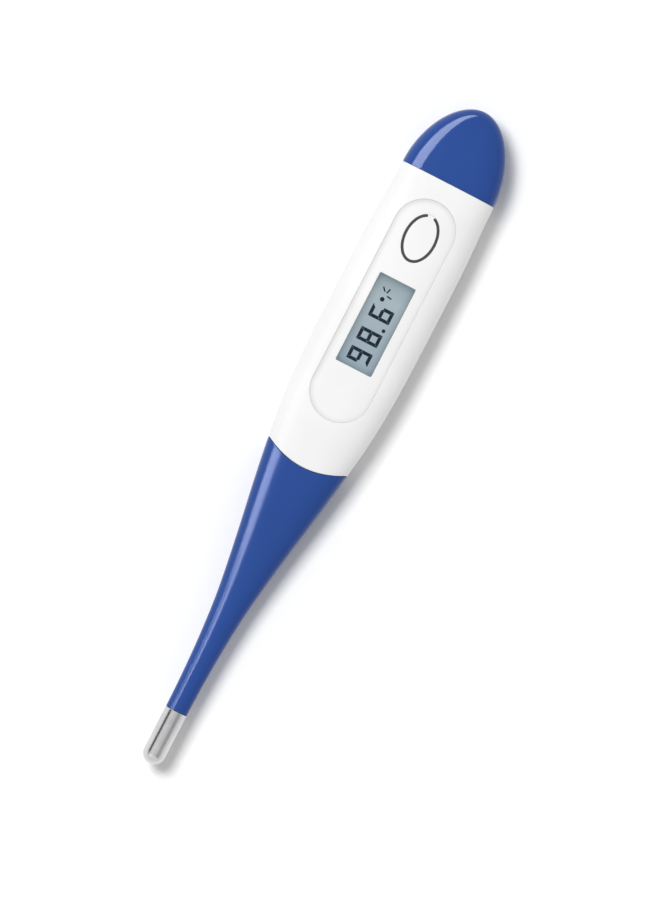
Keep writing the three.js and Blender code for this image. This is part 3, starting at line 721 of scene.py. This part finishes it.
def handle_face(shell):
    """The upper face with the panel's recess, the ceiling below it, and the window seat and key
    hole through both."""
    holes = [window_seat(), key_hole()]
    skin_loop = region_loop(open_rows(form_points, FACE_XS, PATCH_FIRST, PATCH_LAST))
    rim = [(panel_outline(RIM_RADIUS * (1 - math.sin(turn))), RIM_RADIUS * (1 - math.cos(turn)))
           for turn in ROUNDING]
    floor = [(loop, RECESS_DEPTH) for loop in (panel_outline(-RECESS_DRAFT), *holes)]
    patch(shell, [(skin_loop, 0)] + rim + floor, skin_loop, holes, form_top)
    ceiling = region_loop(open_rows(cavity_points, CEILING_XS, CEILING_FIRST, CEILING_LAST))
    patch(shell, [(loop, 0) for loop in (ceiling, *holes)], ceiling, holes, cavity_top, spacing=1.4,
          flip=True)
    for hole in holes:
        shell.wall(hole, cavity_top, raised(form_top, -RECESS_DEPTH))


def handle_shell():
    shell = Shell()
    for build_part in (handle_skin, handle_spigot, handle_cavity, handle_face):
        build_part(shell)
    return shell.build("handle_shell")


HANDLE = finish_piece(handle_shell(), WHITE, "handle", ["housing"])

# ---- Front panel, lens and key ----

FILLET_WIDTH, FILLET_RISE = 0.9, 0.19
WINDOW_LIP, WINDOW_CORNER = 0.15, 0.4
LENS_CORNER, LENS_EDGE, LENS_GAP, LENS_SINK = 0.3, 0.08, 0.04, 0.03
KEY_RISE = 0.02
RING_HALF_X, RING_HALF_Y = 4.4, 2.83
RING_STROKE, RING_GAP, RING_PROUD = 0.5, 1.15, 0.012
PRINT_DEPTH = 0.05


def panel_edge(grow=0.0):
    return stadium(grow + CAD_PANEL_GAP - PANEL_GAP)


def window_opening(grow=0.0):
    return rounded_box(LENS_LOW, LENS_HIGH, WINDOW_CORNER, grow - WINDOW_LIP)


def panel_plane(x, y):
    """The panel follows the handle's crown, a little below it."""
    return form_top(x, y, PANEL_SINK)


def panel_top(x, y):
    """The panel's face rises a little to meet the rim round it."""
    nearest_x = np.clip(x, PANEL_LOW[0] + PANEL_RADIUS, PANEL_HIGH[0] - PANEL_RADIUS)
    inside = PANEL_RADIUS + CAD_PANEL_GAP - PANEL_GAP - np.hypot(x - nearest_x, y)
    return panel_plane(x, y) + FILLET_RISE * (1 - np.clip(inside / FILLET_WIDTH, 0, 1)) ** 2


def panel_bottom(x, y):
    return form_top(x, y, PANEL_SINK + PANEL_THICKNESS)


panel = plate("front_panel_skin", panel_edge, [window_opening, key_hole], panel_top, panel_bottom,
              edge=0.06, spacing=0.45)
finish_piece(panel, panel_material(), "handle", ["front_panel"])


def display_lens():
    """A clear plate held behind the panel, with a raised face that fills the opening."""
    shell = Shell()
    flange = rounded_box(LENS_LOW, LENS_HIGH, LENS_CORNER)
    face, face_top = window_opening(-LENS_GAP), window_opening(-LENS_GAP - LENS_EDGE)
    top = raised(panel_plane, -LENS_SINK)
    patch(shell, [(face_top, 0)], face_top, [], top, spacing=0.8)
    patch(shell, [(flange, 0)], flange, [], flat(LENS_LOW[2]), spacing=2, flip=True)
    shell.grid([
        at_height(face_top, top(*face_top.T)), at_height(face, top(*face.T) - LENS_EDGE),
        at_height(face, LENS_HIGH[2]), at_height(flange, LENS_HIGH[2]),
        at_height(flange, LENS_LOW[2]),
    ])
    return shell.build("display_lens")


finish_piece(display_lens(), clear_material(), "handle", ["display_window"])


def key_outline(grow=0.0):
    return ellipse(KEY_CENTRE_X, KEY_HALF_X + grow, KEY_HALF_Y + grow)


key_top = raised(panel_plane, KEY_RISE)
key = plate("power_key", key_outline, [], key_top, flat(KEY_LOW[2]), edge=0.03, spacing=0.5)
finish_piece(key, KEY_WHITE, "key", ["power_button"])


def key_ring():
    """The broken oval line printed on the key, open towards the battery cover."""
    half_gap = (RING_GAP + RING_STROKE) / 2 / RING_HALF_Y
    angles = np.linspace(half_gap, 2 * math.pi - half_gap, 160)
    line = np.array([KEY_CENTRE_X, 0]) + arc_points((0, 0), 1, angles) * (RING_HALF_X, RING_HALF_Y)
    along = np.gradient(line, axis=0)
    along /= np.linalg.norm(along, axis=1)[:, None]
    side = np.stack([along[:, 1], -along[:, 0]], -1) * RING_STROKE / 2
    turns = np.linspace(math.pi, 0, 11)[1:-1]

    def round_end(i, outward):
        forward = along[i] * RING_STROKE / 2
        return line[i] + outward * (np.outer(np.cos(turns), side[i]) + np.outer(np.sin(turns), forward))

    loop = np.vstack([line - side, round_end(-1, 1), (line + side)[::-1], round_end(0, -1)])
    above, below = raised(key_top, RING_PROUD), raised(key_top, -PRINT_DEPTH)
    shell = Shell()
    patch(shell, [(loop, 0)], loop, [], above, spacing=5)
    patch(shell, [(loop, 0)], loop, [], below, spacing=5, flip=True)
    shell.wall(loop, below, above)
    return shell.build("key_ring_print")


finish_piece(key_ring(), INK, "key")

# ---- Display ----


def glass_outline(grow=0.0):
    return rounded_box(GLASS_LOW, GLASS_HIGH, 0.2, grow)


display_cell = plate("display_cell", glass_outline, [], flat(GLASS_HIGH[2]), flat(GLASS_LOW[2]),
                     edge=0.1, spacing=1.5)
finish_piece(display_cell, display_material(), "tray", ["display_glass"])

DIGIT_BOTTOM, DIGIT_TOP, DIGIT_WIDTH = -2.1, 2.1, 2.45
DIGITS = ((16.55, "abcdfg"), (20.4, "abcdefg"), (25.05, "acdefg"))  # centre X and lit segments
SEGMENT_WIDTH, SEGMENT_GAP, SEGMENT_PROUD = 0.62, 0.02, 0.02
DOTS = ((22.5, -1.8, 0.34), (27.5, 1.05, 0.42))  # decimal point and signal dot: x, y, radius
SIGNAL_RAYS = ((29.3, 1.55, 42), (29.3, 0.68, -18), (28.3, 0.05, 81))  # x, y, degrees
SIGNAL_RAY_LENGTH, SIGNAL_RAY_WIDTH = 0.95, 0.26


def segment_shapes(centre_x):
    """The mitred outlines of a digit's seven segments. Corners are (along X, up the digit)."""
    width, gap = SEGMENT_WIDTH, SEGMENT_GAP
    left, right = centre_x - DIGIT_WIDTH / 2, centre_x + DIGIT_WIDTH / 2
    middle = (DIGIT_BOTTOM + DIGIT_TOP) / 2

    def level(outer, inner):
        return [(left + gap, outer), (right - gap, outer), (right - width - gap, inner),
                (left + width + gap, inner)]

    def upright(outer, inner, end, turn):
        tip = middle + turn * gap
        mitre = end - turn * width
        return [(outer, end - turn * gap), (inner, mitre - turn * gap),
                (inner, tip + turn * width / 2), ((outer + inner) / 2, tip), (outer, tip)]

    low, high = middle - width / 2, middle + width / 2
    inner_left, inner_right = left + width + gap, right - width - gap
    return {
        "a": level(DIGIT_TOP, DIGIT_TOP - width), "d": level(DIGIT_BOTTOM, DIGIT_BOTTOM + width),
        "f": upright(left, left + width, DIGIT_TOP, 1),
        "b": upright(right, right - width, DIGIT_TOP, 1),
        "e": upright(left, left + width, DIGIT_BOTTOM, -1),
        "c": upright(right, right - width, DIGIT_BOTTOM, -1),
        "g": [(left + width / 2 + gap, middle), (inner_left, high), (inner_right, high),
              (right - width / 2 - gap, middle), (inner_right, low), (inner_left, low)],
    }


def segment_loops():
    """Plan outlines of the lit segments, the decimal point and the signal mark."""
    loops = []
    for centre_x, lit in DIGITS:
        shapes = segment_shapes(centre_x)
        loops += [np.array(shapes[name]) for name in lit]
    loops += [arc_points((x, y), radius, round_angles(24)) for x, y, radius in DOTS]
    for x, y, degrees in SIGNAL_RAYS:
        turn = math.radians(degrees)
        along = np.array([math.cos(turn), math.sin(turn)]) * SIGNAL_RAY_LENGTH / 2
        side = np.array([-math.sin(turn), math.cos(turn)]) * SIGNAL_RAY_WIDTH / 2
        loops.append(np.array([along + side, side - along, -along - side, along - side]) + (x, y))
    return loops


def display_segments():
    shell = Shell()
    for loop in segment_loops():
        shell.prism(loop, GLASS_HIGH[2] - PRINT_DEPTH, GLASS_HIGH[2] + SEGMENT_PROUD)
    return shell.build("display_segments")


segments = finish_piece(display_segments(), DISPLAY_INK, "tray")

# ---- Battery cover ----

COVER_MOUTH_X, COVER_INNER_END_X = HANDLE_END_X + 0.03, 64.2
COVER_EDGE_RADIUS, COVER_CHAMFER = 0.07, 0.1


def battery_cover():
    """The blue end cap, open towards the handle."""
    shell = Shell()
    angles = round_angles(144)
    turns = np.linspace(0.03, math.pi / 2, 56)
    outer = [(COVER_X + (CAP_X - COVER_X) * math.sin(turn), 0.0) for turn in turns[:-1]]
    rows = edge_rows(COVER_MOUTH_X, angles, COVER_EDGE_RADIUS, 1)
    rows += form_rings([(COVER_X, 0.0)] + outer, angles)
    shell.grid(rows)
    shell.fan(rows[-1], [CAP_X, 0, AXIS_Z])
    depth = COVER_INNER_END_X - COVER_X
    inner = [(COVER_MOUTH_X, COVER_EDGE_RADIUS), (COVER_MOUTH_X, COVER_WALL - COVER_CHAMFER),
             (COVER_MOUTH_X + COVER_CHAMFER, COVER_WALL)]
    inner += [(COVER_X + depth * math.sin(turn), COVER_WALL) for turn in turns[1::3]]
    rows = form_rings(inner + [(COVER_INNER_END_X, COVER_WALL)], angles)
    shell.grid(rows, flip=True)
    shell.fan(rows[-1], [COVER_INNER_END_X, 0, AXIS_Z], flip=True)
    return shell.build("battery_cover_shell")


cover = finish_piece(battery_cover(), BLUE_COVER, "cover", ["battery_cover"])

# ---- Flexible stem and leads ----

STEM_WALL = 0.55
STEM_SHOULDER_X = -55.37
STEM_RING = round_angles(112)
STEM_STEP, LEAD_STEP = 0.3, 0.5
STEM_EDGE_RADIUS = 0.08
MID_LINK = (HINGE_XS[0] - HINGE_XS[1]) / 2
ROOT_END_X = HINGE_XS[0] + MID_LINK
LEAD_RADIUS = 0.24
LEAD_TIP_X, LEAD_BEND_X, LEAD_END_X = TIP_X + 3.6, 1.5, 10.9
LEAD_END_Z = BOARD_TOP + LEAD_RADIUS + 0.06
lead_side_at = smooth_profile([
    (TIP_X, 0.4), (-8, 0.4), (-3, 0.4), (LEAD_BEND_X, 1.2), (5.5, 3.4), (8.6, 3), (LEAD_END_X, 1.8)])
lead_height_at = smooth_profile([
    (TIP_X, AXIS_Z), (LEAD_BEND_X, AXIS_Z), (5.5, AXIS_Z + 0.3), (8.6, AXIS_Z + 0.2),
    (LEAD_END_X, LEAD_END_Z)])
LEADS = (("left", 1, WIRE_RED, "wire_red"), ("right", -1, WIRE_BLACK, "wire_black"))


def stem_seam():
    """X at each angle of the stem's end at the bowed seam."""
    x = np.full(len(STEM_RING), SEAM_X)
    for _ in range(6):
        x = seam_x(form_points(x, STEM_RING)[:, 1]) - SEAM_GAP
    return x


def stem_tube(name, start, end):
    """A length of the stem's skin from start, at the handle's side, to end. Its ends at the
    handle and at the sensor tip have rounded edges."""
    shell = Shell()
    first = stem_seam() if start == SEAM_X else np.full(len(STEM_RING), start)
    count = max(int(abs(end - start) / STEM_STEP), 2)
    outer, inner = ([form_points(first + (end - first) * share, STEM_RING, inset)
                     for share in shares]
                    for inset, shares in ((0.0, np.linspace(0, 1, count + 1)),
                                          (STEM_WALL, np.linspace(1, 0, count // 2 + 1))))
    if start == SEAM_X:
        outer[:1] = edge_rows(first, STEM_RING, EDGE_RADIUS, -1)
    if end == STEM_SHOULDER_X:
        outer[-1:] = edge_rows(end, STEM_RING, STEM_EDGE_RADIUS, 1)[::-1]
    shell.grid(outer + inner + outer[:1])
    return shell.build(name)


def lead_length(name, side, start, end):
    """One lead between two stations: straight inside the stem, then bent towards the board."""
    shell = Shell()
    circle = arc_points((0, 0), LEAD_RADIUS, round_angles(12))
    xs = np.linspace(start, end, max(int(abs(end - start) / LEAD_STEP), 2) + 1)
    path = np.stack([xs, side * lead_side_at(xs), lead_height_at(xs)], -1)
    rows = []
    for point, along in zip(path, np.gradient(path, axis=0)):
        across = np.cross(along, (0, 0, 1))
        up = np.cross(across, along)
        frame_axes = [axis / np.linalg.norm(axis) for axis in (across, up)]
        rows.append(point + circle @ np.array(frame_axes))
    shell.grid(rows)
    shell.fan(rows[0], path[0], flip=True)
    shell.fan(rows[-1], path[-1])
    return shell.build(name)


def on_axis(x):
    return (x * MM, 0, AXIS_Z * MM)


root = stem_tube("stem_skin_root", SEAM_X, ROOT_END_X)
stem_skins = [finish_piece(root, BLUE_STEM, "handle", ["stem_root"])]

for number, hinge_x in enumerate(HINGE_XS, 1):
    first_x, last_x = hinge_x + MID_LINK, hinge_x - MID_LINK
    is_last = number == len(HINGE_XS)
    skin = stem_tube(f"stem_skin_{number}", first_x, STEM_SHOULDER_X if is_last else last_x)
    finish_piece(skin, BLUE_STEM, None, [f"stem_link_{number}"])
    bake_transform(skin)
    stem_skins.append(skin)
    for side_name, side, material, slot_name in LEADS:
        wire = lead_length(f"lead_{side_name}_{number}", side, first_x,
                           LEAD_TIP_X if is_last else last_x)
        finish_piece(wire, material)
        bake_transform(wire)

for side_name, side, material, slot_name in LEADS:
    wire = lead_length(f"lead_{side_name}_root", side, ROOT_END_X, LEAD_BEND_X)
    finish_piece(wire, material, "handle", [f"lead_wire_{side_name}"])
    bend = lead_length(f"lead_{side_name}_bend", side, LEAD_BEND_X, LEAD_END_X)
    finish_piece(bend, material)
    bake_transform(bend)

# ---- Sensor tip ----

TIP_RADIUS, TIP_INNER_RADIUS = 2.1, 1.75
TIP_SHOULDER_X = -55.4
SHOULDER_RADIUS = 0.2
NECK_RADIUS, NECK_BORE_RADIUS = 1.5, 1.15
NECK_STEP = 0.35


def sensor_tip():
    """The steel cup: a round nose, a straight side, a rolled shoulder and the held neck."""
    shoulder_start = TIP_SHOULDER_X - SHOULDER_RADIUS
    nose = [(TIP_RADIUS * math.sin(turn), TIP_X + TIP_RADIUS * (1 - math.cos(turn)))
            for turn in np.linspace(0, math.pi / 2, 30)]
    side = [(TIP_RADIUS, x) for x in np.linspace(TIP_X + TIP_RADIUS + 0.3, shoulder_start, 12)]
    shoulder = [(TIP_RADIUS - SHOULDER_RADIUS * (1 - math.cos(turn)),
                 shoulder_start + SHOULDER_RADIUS * math.sin(turn))
                for turn in np.linspace(0.2, math.pi / 2, 5)]
    step_x = TIP_SHOULDER_X - NECK_STEP
    neck = [(NECK_RADIUS, TIP_SHOULDER_X), (NECK_RADIUS, TIP_NECK_X), (NECK_BORE_RADIUS, TIP_NECK_X),
            (NECK_BORE_RADIUS, step_x), (TIP_INNER_RADIUS, step_x), (TIP_INNER_RADIUS, TIP_X + 2.4)]
    inside = [(TIP_INNER_RADIUS * math.cos(turn),
               TIP_X + TIP_RADIUS - TIP_INNER_RADIUS * math.sin(turn))
              for turn in np.linspace(0.1, math.pi / 2, 10)]
    return lathe("sensor_tip_cup", nose + side + shoulder + neck + inside, 80)


tip_cup = finish_piece(sensor_tip(), STAINLESS, "stem_5", ["sensor_tip"])

# ---- Inner pieces ----

SOFT_PIECES = (
    # CAD node, material, slot and edge radius, all on the tray
    ("carrier_tray", NATURAL, "tray_plastic", 0.12),
    ("circuit_board", BOARD, "board_green", 0.05),
    ("display_frame", FRAME_WHITE, "frame_plastic", 0.1),
    ("contact_strip_left", RUBBER, "strip_rubber", 0.08),
    ("contact_strip_right", RUBBER, "strip_rubber", 0.08),
    ("key_switch", BLACK, "switch_black", 0.1),
    ("capacitor", CERAMIC, "ceramic_beige", 0.06),
    ("resistor", BLACK, "switch_black", 0.06),
    ("negative_contact", NICKEL, "spring_steel", 0.04),
    ("positive_contact", NICKEL, "spring_steel", 0.04),
)


def softened(node_name, radius):
    """A piece with a CAD node's shape and slightly rounded edges."""
    work = bmesh.new()
    work.from_mesh(frame["nodes"][node_name].data)
    bmesh.ops.remove_doubles(work, verts=work.verts, dist=1e-6)
    bmesh.ops.dissolve_limit(work, angle_limit=math.radians(1), verts=work.verts, edges=work.edges)
    corners = [edge for edge in work.edges
               if edge.is_manifold and edge.calc_face_angle() > math.radians(30)]
    bmesh.ops.bevel(work, geom=corners, offset=radius * MM, segments=2, profile=0.5,
                    affect="EDGES", clamp_overlap=True)
    return mesh_object(bpy.data.meshes.new(node_name + "_soft"), work, 20)


for node_name, material, slot_name, radius in SOFT_PIECES:
    finish_piece(softened(node_name, radius), material, "tray", [node_name])


def centre_of(node_name):
    low, high = box_mm(node_name)
    return (low + high) / 2


SEAL_DEPTH, SEAL_HALF_HEIGHT = 0.18, 0.3


def cover_seal():
    """A round rubber ring in the groove of the handle's spigot."""
    shell = Shell()
    middle, half = (SEAL_LOW[0] + SEAL_HIGH[0]) / 2, (SEAL_HIGH[0] - SEAL_LOW[0]) / 2
    depth = SPIGOT_INSET + SEAL_DEPTH
    rows = form_rings([(middle + half * math.cos(turn), depth - SEAL_HALF_HEIGHT * math.sin(turn))
                       for turn in round_angles(16)], round_angles(144))
    shell.grid(rows + rows[:1])
    return shell.build("cover_seal_ring")


def button_cell():
    """A coin cell: the pole below, the insulating ring's groove and the can with its rolled edge."""
    bottom, top, radius = CELL_LOW[2], CELL_HIGH[2], (CELL_HIGH[0] - CELL_LOW[0]) / 2
    lower = [(0, 0), (3.0, 0), (3.14, 0.06), (3.2, 0.2), (3.2, 0.5), (3.45, 0.5), (3.5, 0.42),
             (3.65, 0.4), (3.83, 0.5), (3.92, 0.66), (radius, 0.85)]
    upper = [(radius, 0.3), (3.9, 0.15), (3.8, 0.05), (3.65, 0), (3.3, 0), (3.2, 0.06), (0, 0.06)]
    profile = [(r, bottom + up) for r, up in lower] + [(r, top - down) for r, down in upper]
    return lathe("button_cell_can", profile, 96, 30, centre_of("button_cell")[:2], "z")


def cell_mark():
    """The plus mark pressed into the can's face."""
    shell = Shell()
    reach, half, top = 1.1, 0.16, CELL_HIGH[2] - 0.05
    arm = [(reach, -half), (reach, half), (half, half)]
    corners = []
    for _ in range(4):
        corners += arm
        arm = [(-y, x) for x, y in arm]
    shell.prism(np.array(corners) + centre_of("button_cell")[:2], top - PRINT_DEPTH, top)
    return shell.build("button_cell_mark")


def controller_dome():
    low, high = box_mm("controller_chip")
    radius, height = (high[0] - low[0]) / 2, high[2] - low[2]
    profile = [(0, high[2]), (radius, high[2])]
    profile += [(radius * math.cos(turn), high[2] - height * math.sin(turn))
                for turn in np.linspace(0.06, math.pi / 2, 18)]
    return lathe("controller_dome", profile, 64, 40, centre_of("controller_chip")[:2], "z")


def crystal_can():
    low, high = box_mm("timing_crystal")
    start, end, radius = low[0], high[0], (high[2] - low[2]) / 2
    inward = [(0.15, start), (0.04, start + 0.04), (0, start + 0.15), (0, end - 0.35),
              (0.06, end - 0.3), (0.06, end - 0.12), (0.12, end - 0.03), (0.2, end)]
    profile = [(0, start)] + [(radius - inset, x) for inset, x in inward] + [(0, end)]
    return lathe("timing_crystal_can", profile, 48, 35, centre_of("timing_crystal")[1:], "x")


def buzzer_layer(name, radius, bottom, top):
    edge = 0.05
    profile = [(0, bottom), (radius - edge, bottom), (radius, bottom + edge), (radius, top - edge),
               (radius - edge, top), (0, top)]
    return lathe(name, profile, 96, 35, centre_of("piezo_buzzer")[:2], "z")


def thermistor_bead():
    low, high = box_mm("thermistor")
    middle, half = (low[0] + high[0]) / 2, (high[0] - low[0]) / 2
    radius = (high[2] - low[2]) / 2
    profile = [(radius * math.sin(turn), middle - half * math.cos(turn))
               for turn in np.linspace(0, math.pi, 25)]
    return lathe("thermistor_bead", profile, 32)


def tip_filler():
    """The cast ring round the leads, with a sunken rear face."""
    low, high = box_mm("tip_filler")
    outer, inner, edge = (high[1] - low[1]) / 2, 0.82, 0.12
    profile = [
        (inner, low[0] + edge), (inner + edge, low[0]), (outer - edge, low[0]),
        (outer, low[0] + edge), (outer, high[0] - edge), (outer - edge, high[0] + 0.02),
        (outer - 3 * edge, high[0] - 0.03), (inner + edge, high[0] - 0.02), (inner, high[0] - edge),
        (inner, low[0] + edge),
    ]
    return lathe("tip_filler_resin", profile, 48, 50)


def solder_dome(name, side):
    """The solder that joins a lead's end to the board."""
    profile = [(0, 0.62), (0.22, 0.57), (0.3, 0.4), (0.33, 0.2), (0.4, 0.01), (0, 0.01)]
    place = (LEAD_END_X - 0.05, side * float(lead_side_at(LEAD_END_X)))
    return lathe(name, [(radius, BOARD_TOP + up) for radius, up in profile], 32, 60, place, "z")


BUZZER_RADIUS, CERAMIC_RADIUS = (BUZZER_HIGH[0] - BUZZER_LOW[0]) / 2, 3.9
BUZZER_STEP_Z = (BUZZER_LOW[2] + BUZZER_HIGH[2]) / 2
finish_piece(cover_seal(), RUBBER, "handle", ["cover_seal"])
finish_piece(button_cell(), CELL_STEEL, "tray", ["button_cell"])
finish_piece(cell_mark(), INK, "tray")
brass_plate = buzzer_layer("piezo_buzzer_plate", BUZZER_RADIUS, BUZZER_LOW[2], BUZZER_STEP_Z)
ceramic_disc = buzzer_layer("piezo_buzzer_disc", CERAMIC_RADIUS, BUZZER_STEP_Z, BUZZER_HIGH[2])
finish_piece(brass_plate, BRASS, "tray", ["piezo_buzzer"])
finish_piece(ceramic_disc, FRAME_WHITE, "tray")
finish_piece(controller_dome(), RESIN, "tray", ["controller_chip"])
finish_piece(crystal_can(), NICKEL, "tray", ["timing_crystal"])
finish_piece(thermistor_bead(), RESIN, "stem_5", ["thermistor"])
finish_piece(tip_filler(), EPOXY, "stem_5", ["tip_filler"])
for side_name, side, _, _ in LEADS:
    finish_piece(solder_dome(f"solder_{side_name}", side), NICKEL, "tray")

# ---- Floor, light and camera ----

PLAN_ANGLE = math.radians(62.7)
IMAGE_RIGHT = Vector((math.cos(PLAN_ANGLE), -math.sin(PLAN_ANGLE), 0))
IMAGE_UP = Vector((math.sin(PLAN_ANGLE), math.cos(PLAN_ANGLE), 0))
VIEW_CENTRE = IMAGE_RIGHT * 0.00229 + IMAGE_UP * -0.0022
CAMERA_DISTANCE, VIEW_HEIGHT, SENSOR_WIDTH = 2.2, 0.1622, 36
FLOOR_HALF = 1.5
SKY_STRENGTH = 0.46

KEY_TOWARD = -0.64 * IMAGE_RIGHT + 0.77 * IMAGE_UP
KEY_ELEVATION = math.radians(67.5)
KEY_DISTANCE, KEY_SIZE, KEY_POWER = 2.2, 0.7, 34
FILL_ELEVATION, FILL_REACH, FILL_SIZE, FILL_POWER = 50, 1.2, 0.5, 0.9

STRIP_TILT = math.radians(51)
STRIP_REACH, STRIP_WIDTH = 0.45, 0.26
STRIP_COLOR = (0.93, 1.0, 1.15)
STRIPS = (
    # Name, radiance, length, middle X, colour and the pieces that reflect it
    ("cover_strip_light", 25, 4.0, 1.0, STRIP_COLOR, [cover]),
    ("stem_strip_light", 25, 1.3, -0.15, STRIP_COLOR, stem_skins),
    ("body_strip_light", 0.8, 4.0, 1.0, (1, 1, 1), [HANDLE, panel, key]),
)

TIP_MIDDLE = Vector(on_axis((TIP_X + TIP_SHOULDER_X) / 2))
TIP_LIGHT_REACH, TIP_LIGHT_LENGTH = 0.3, 0.6
TIP_LIGHTS = (
    # Name, azimuth and elevation seen from the sensor tip, half spread in degrees and radiance
    ("tip_left_light", 90, 8, 11, 0.5),
    ("tip_top_light", 90, 65, 20, 0.43),
    ("tip_crown_light", 90, 100, 15, 0.3),
    ("tip_right_light", -90, 14, 14, 0.4),
    ("tip_front_light", 180, 28, 28, 0.43),
)
FLAG_ELEVATION, FLAG_SPREAD = 34, 10
FLAG_REACH, FLAG_LENGTH = 0.1, 0.03


def aim(azimuth, elevation):
    """A unit vector towards an azimuth from +X and an elevation, both in degrees."""
    azimuth, elevation = math.radians(azimuth), math.radians(elevation)
    return Vector((math.cos(elevation) * math.cos(azimuth), math.cos(elevation) * math.sin(azimuth),
                   math.sin(elevation)))


def stage_sheet(name, corners, material):
    """A flat sheet that is part of the studio."""
    mesh = bpy.data.meshes.new(name)
    mesh.from_pydata([corner[:] for corner in corners], [], [(0, 1, 2, 3)])
    mesh.materials.append(material)
    sheet = add_object(name, mesh)
    return sheet


def make_floor():
    corners = [(x * FLOOR_HALF, y * FLOOR_HALF, 0) for x, y in ((-1, -1), (1, -1), (1, 1), (-1, 1))]
    paper = new_material("floor_paper", (0.98, 0.98, 0.98), 0.9, Specular_IOR_Level=0.1)[0]
    stage_sheet("floor", corners, paper)


def area_light(name, location, target, size, size_y, power, color=(1, 1, 1)):
    light = bpy.data.lights.new(name, "AREA")
    light.shape = "RECTANGLE"
    light.size, light.size_y = size, size_y
    light.energy = power
    light.color = color
    lamp = add_object(name, light)
    lamp.location = location
    lamp.rotation_mode = "QUATERNION"
    lamp.rotation_quaternion = (target - location).to_track_quat("-Z", "Y")
    return lamp


def collection_of(name, pieces):
    group = bpy.data.collections.new(name)
    for piece in pieces:
        group.objects.link(piece)
    return group


def light_only(lamp, pieces, reflected=True):
    """Keeps a lamp to some of the pieces, and there to its reflection or to its soft light."""
    lamp.visible_diffuse = not reflected
    lamp.visible_glossy = reflected
    lamp.light_linking.receiver_collection = collection_of(lamp.name + "_receivers", pieces)


def make_key_light():
    """The key light in two copies: one for everything but the display, and one for the display
    alone, which the panel's edge doesn't shade."""
    place = KEY_TOWARD.normalized() * math.cos(KEY_ELEVATION) + Vector((0, 0, math.sin(KEY_ELEVATION)))
    for name in ("key_light", "display_light"):
        lamp = area_light(name, place * KEY_DISTANCE, Vector(), KEY_SIZE, KEY_SIZE, KEY_POWER)
        lamp.visible_glossy = False
        receivers = collection_of(name + "_receivers", [display_cell, segments])
        lamp.light_linking.receiver_collection = receivers
        if name == "key_light":
            for entry in receivers.collection_objects:
                entry.light_linking.link_state = "EXCLUDE"
        else:
            lamp.light_linking.blocker_collection = collection_of("display_blockers", [segments])


def make_fill_light():
    fill = area_light("fill_light", aim(-90, FILL_ELEVATION) * FILL_REACH, Vector(), FILL_SIZE,
                      FILL_SIZE, FILL_POWER)
    light_only(fill, [HANDLE, panel, key], reflected=False)


def make_strip_lights():
    """Long lamps whose reflections draw the highlights along the cover, the stem and the handle."""
    for name, glow, length, middle_x, color, pieces in STRIPS:
        target = Vector((middle_x, 0, 0))
        place = target + STRIP_REACH * Vector((0, math.sin(STRIP_TILT), math.cos(STRIP_TILT)))
        power = glow * math.pi * length * STRIP_WIDTH
        light_only(area_light(name, place, target, length, STRIP_WIDTH, power, color), pieces)


def make_tip_lights():
    """Lamps that only the steel tip reflects."""
    for name, azimuth, elevation, spread, glow in TIP_LIGHTS:
        place = TIP_MIDDLE + aim(azimuth, elevation) * TIP_LIGHT_REACH
        width = 2 * TIP_LIGHT_REACH * math.tan(math.radians(spread))
        power = glow * math.pi * TIP_LIGHT_LENGTH * width
        light_only(area_light(name, place, TIP_MIDDLE, TIP_LIGHT_LENGTH, width, power), [tip_cup])


def make_flag():
    """A small black card whose reflection draws the dark line along the steel tip."""
    middle = TIP_MIDDLE + aim(90, FLAG_ELEVATION) * FLAG_REACH
    up = aim(-90, 90 - FLAG_ELEVATION) * FLAG_REACH * math.tan(math.radians(FLAG_SPREAD))
    along = Vector((FLAG_LENGTH / 2, 0, 0))
    corners = [middle - along - up, middle + along - up, middle + along + up, middle - along + up]
    black = new_material("flag_black", (0, 0, 0), 1, Specular_IOR_Level=0.0)[0]
    flag = stage_sheet("flag", corners, black)
    flag.visible_camera = flag.visible_diffuse = flag.visible_shadow = False


def make_sky():
    world = bpy.data.worlds.new("studio")
    world.use_nodes = True
    background = world.node_tree.nodes["Background"]
    background.inputs["Color"].default_value = (1, 1, 1, 1)
    background.inputs["Strength"].default_value = SKY_STRENGTH
    bpy.context.scene.world = world


def make_camera():
    lens_data = bpy.data.cameras.new("camera")
    camera = add_object("camera", lens_data)
    camera.location = VIEW_CENTRE + Vector((0, 0, CAMERA_DISTANCE + AXIS_Z * MM))
    camera.rotation_euler = (0, 0, -PLAN_ANGLE)
    lens_data.sensor_width = SENSOR_WIDTH
    lens_data.lens = SENSOR_WIDTH * CAMERA_DISTANCE / VIEW_HEIGHT
    lens_data.clip_start, lens_data.clip_end = 0.01, 20
    bpy.context.scene.camera = camera


make_floor()
make_key_light()
make_strip_lights()
make_fill_light()
make_tip_lights()
make_sky()
make_flag()
make_camera()
bpy.context.scene.view_settings.view_transform = "Standard"
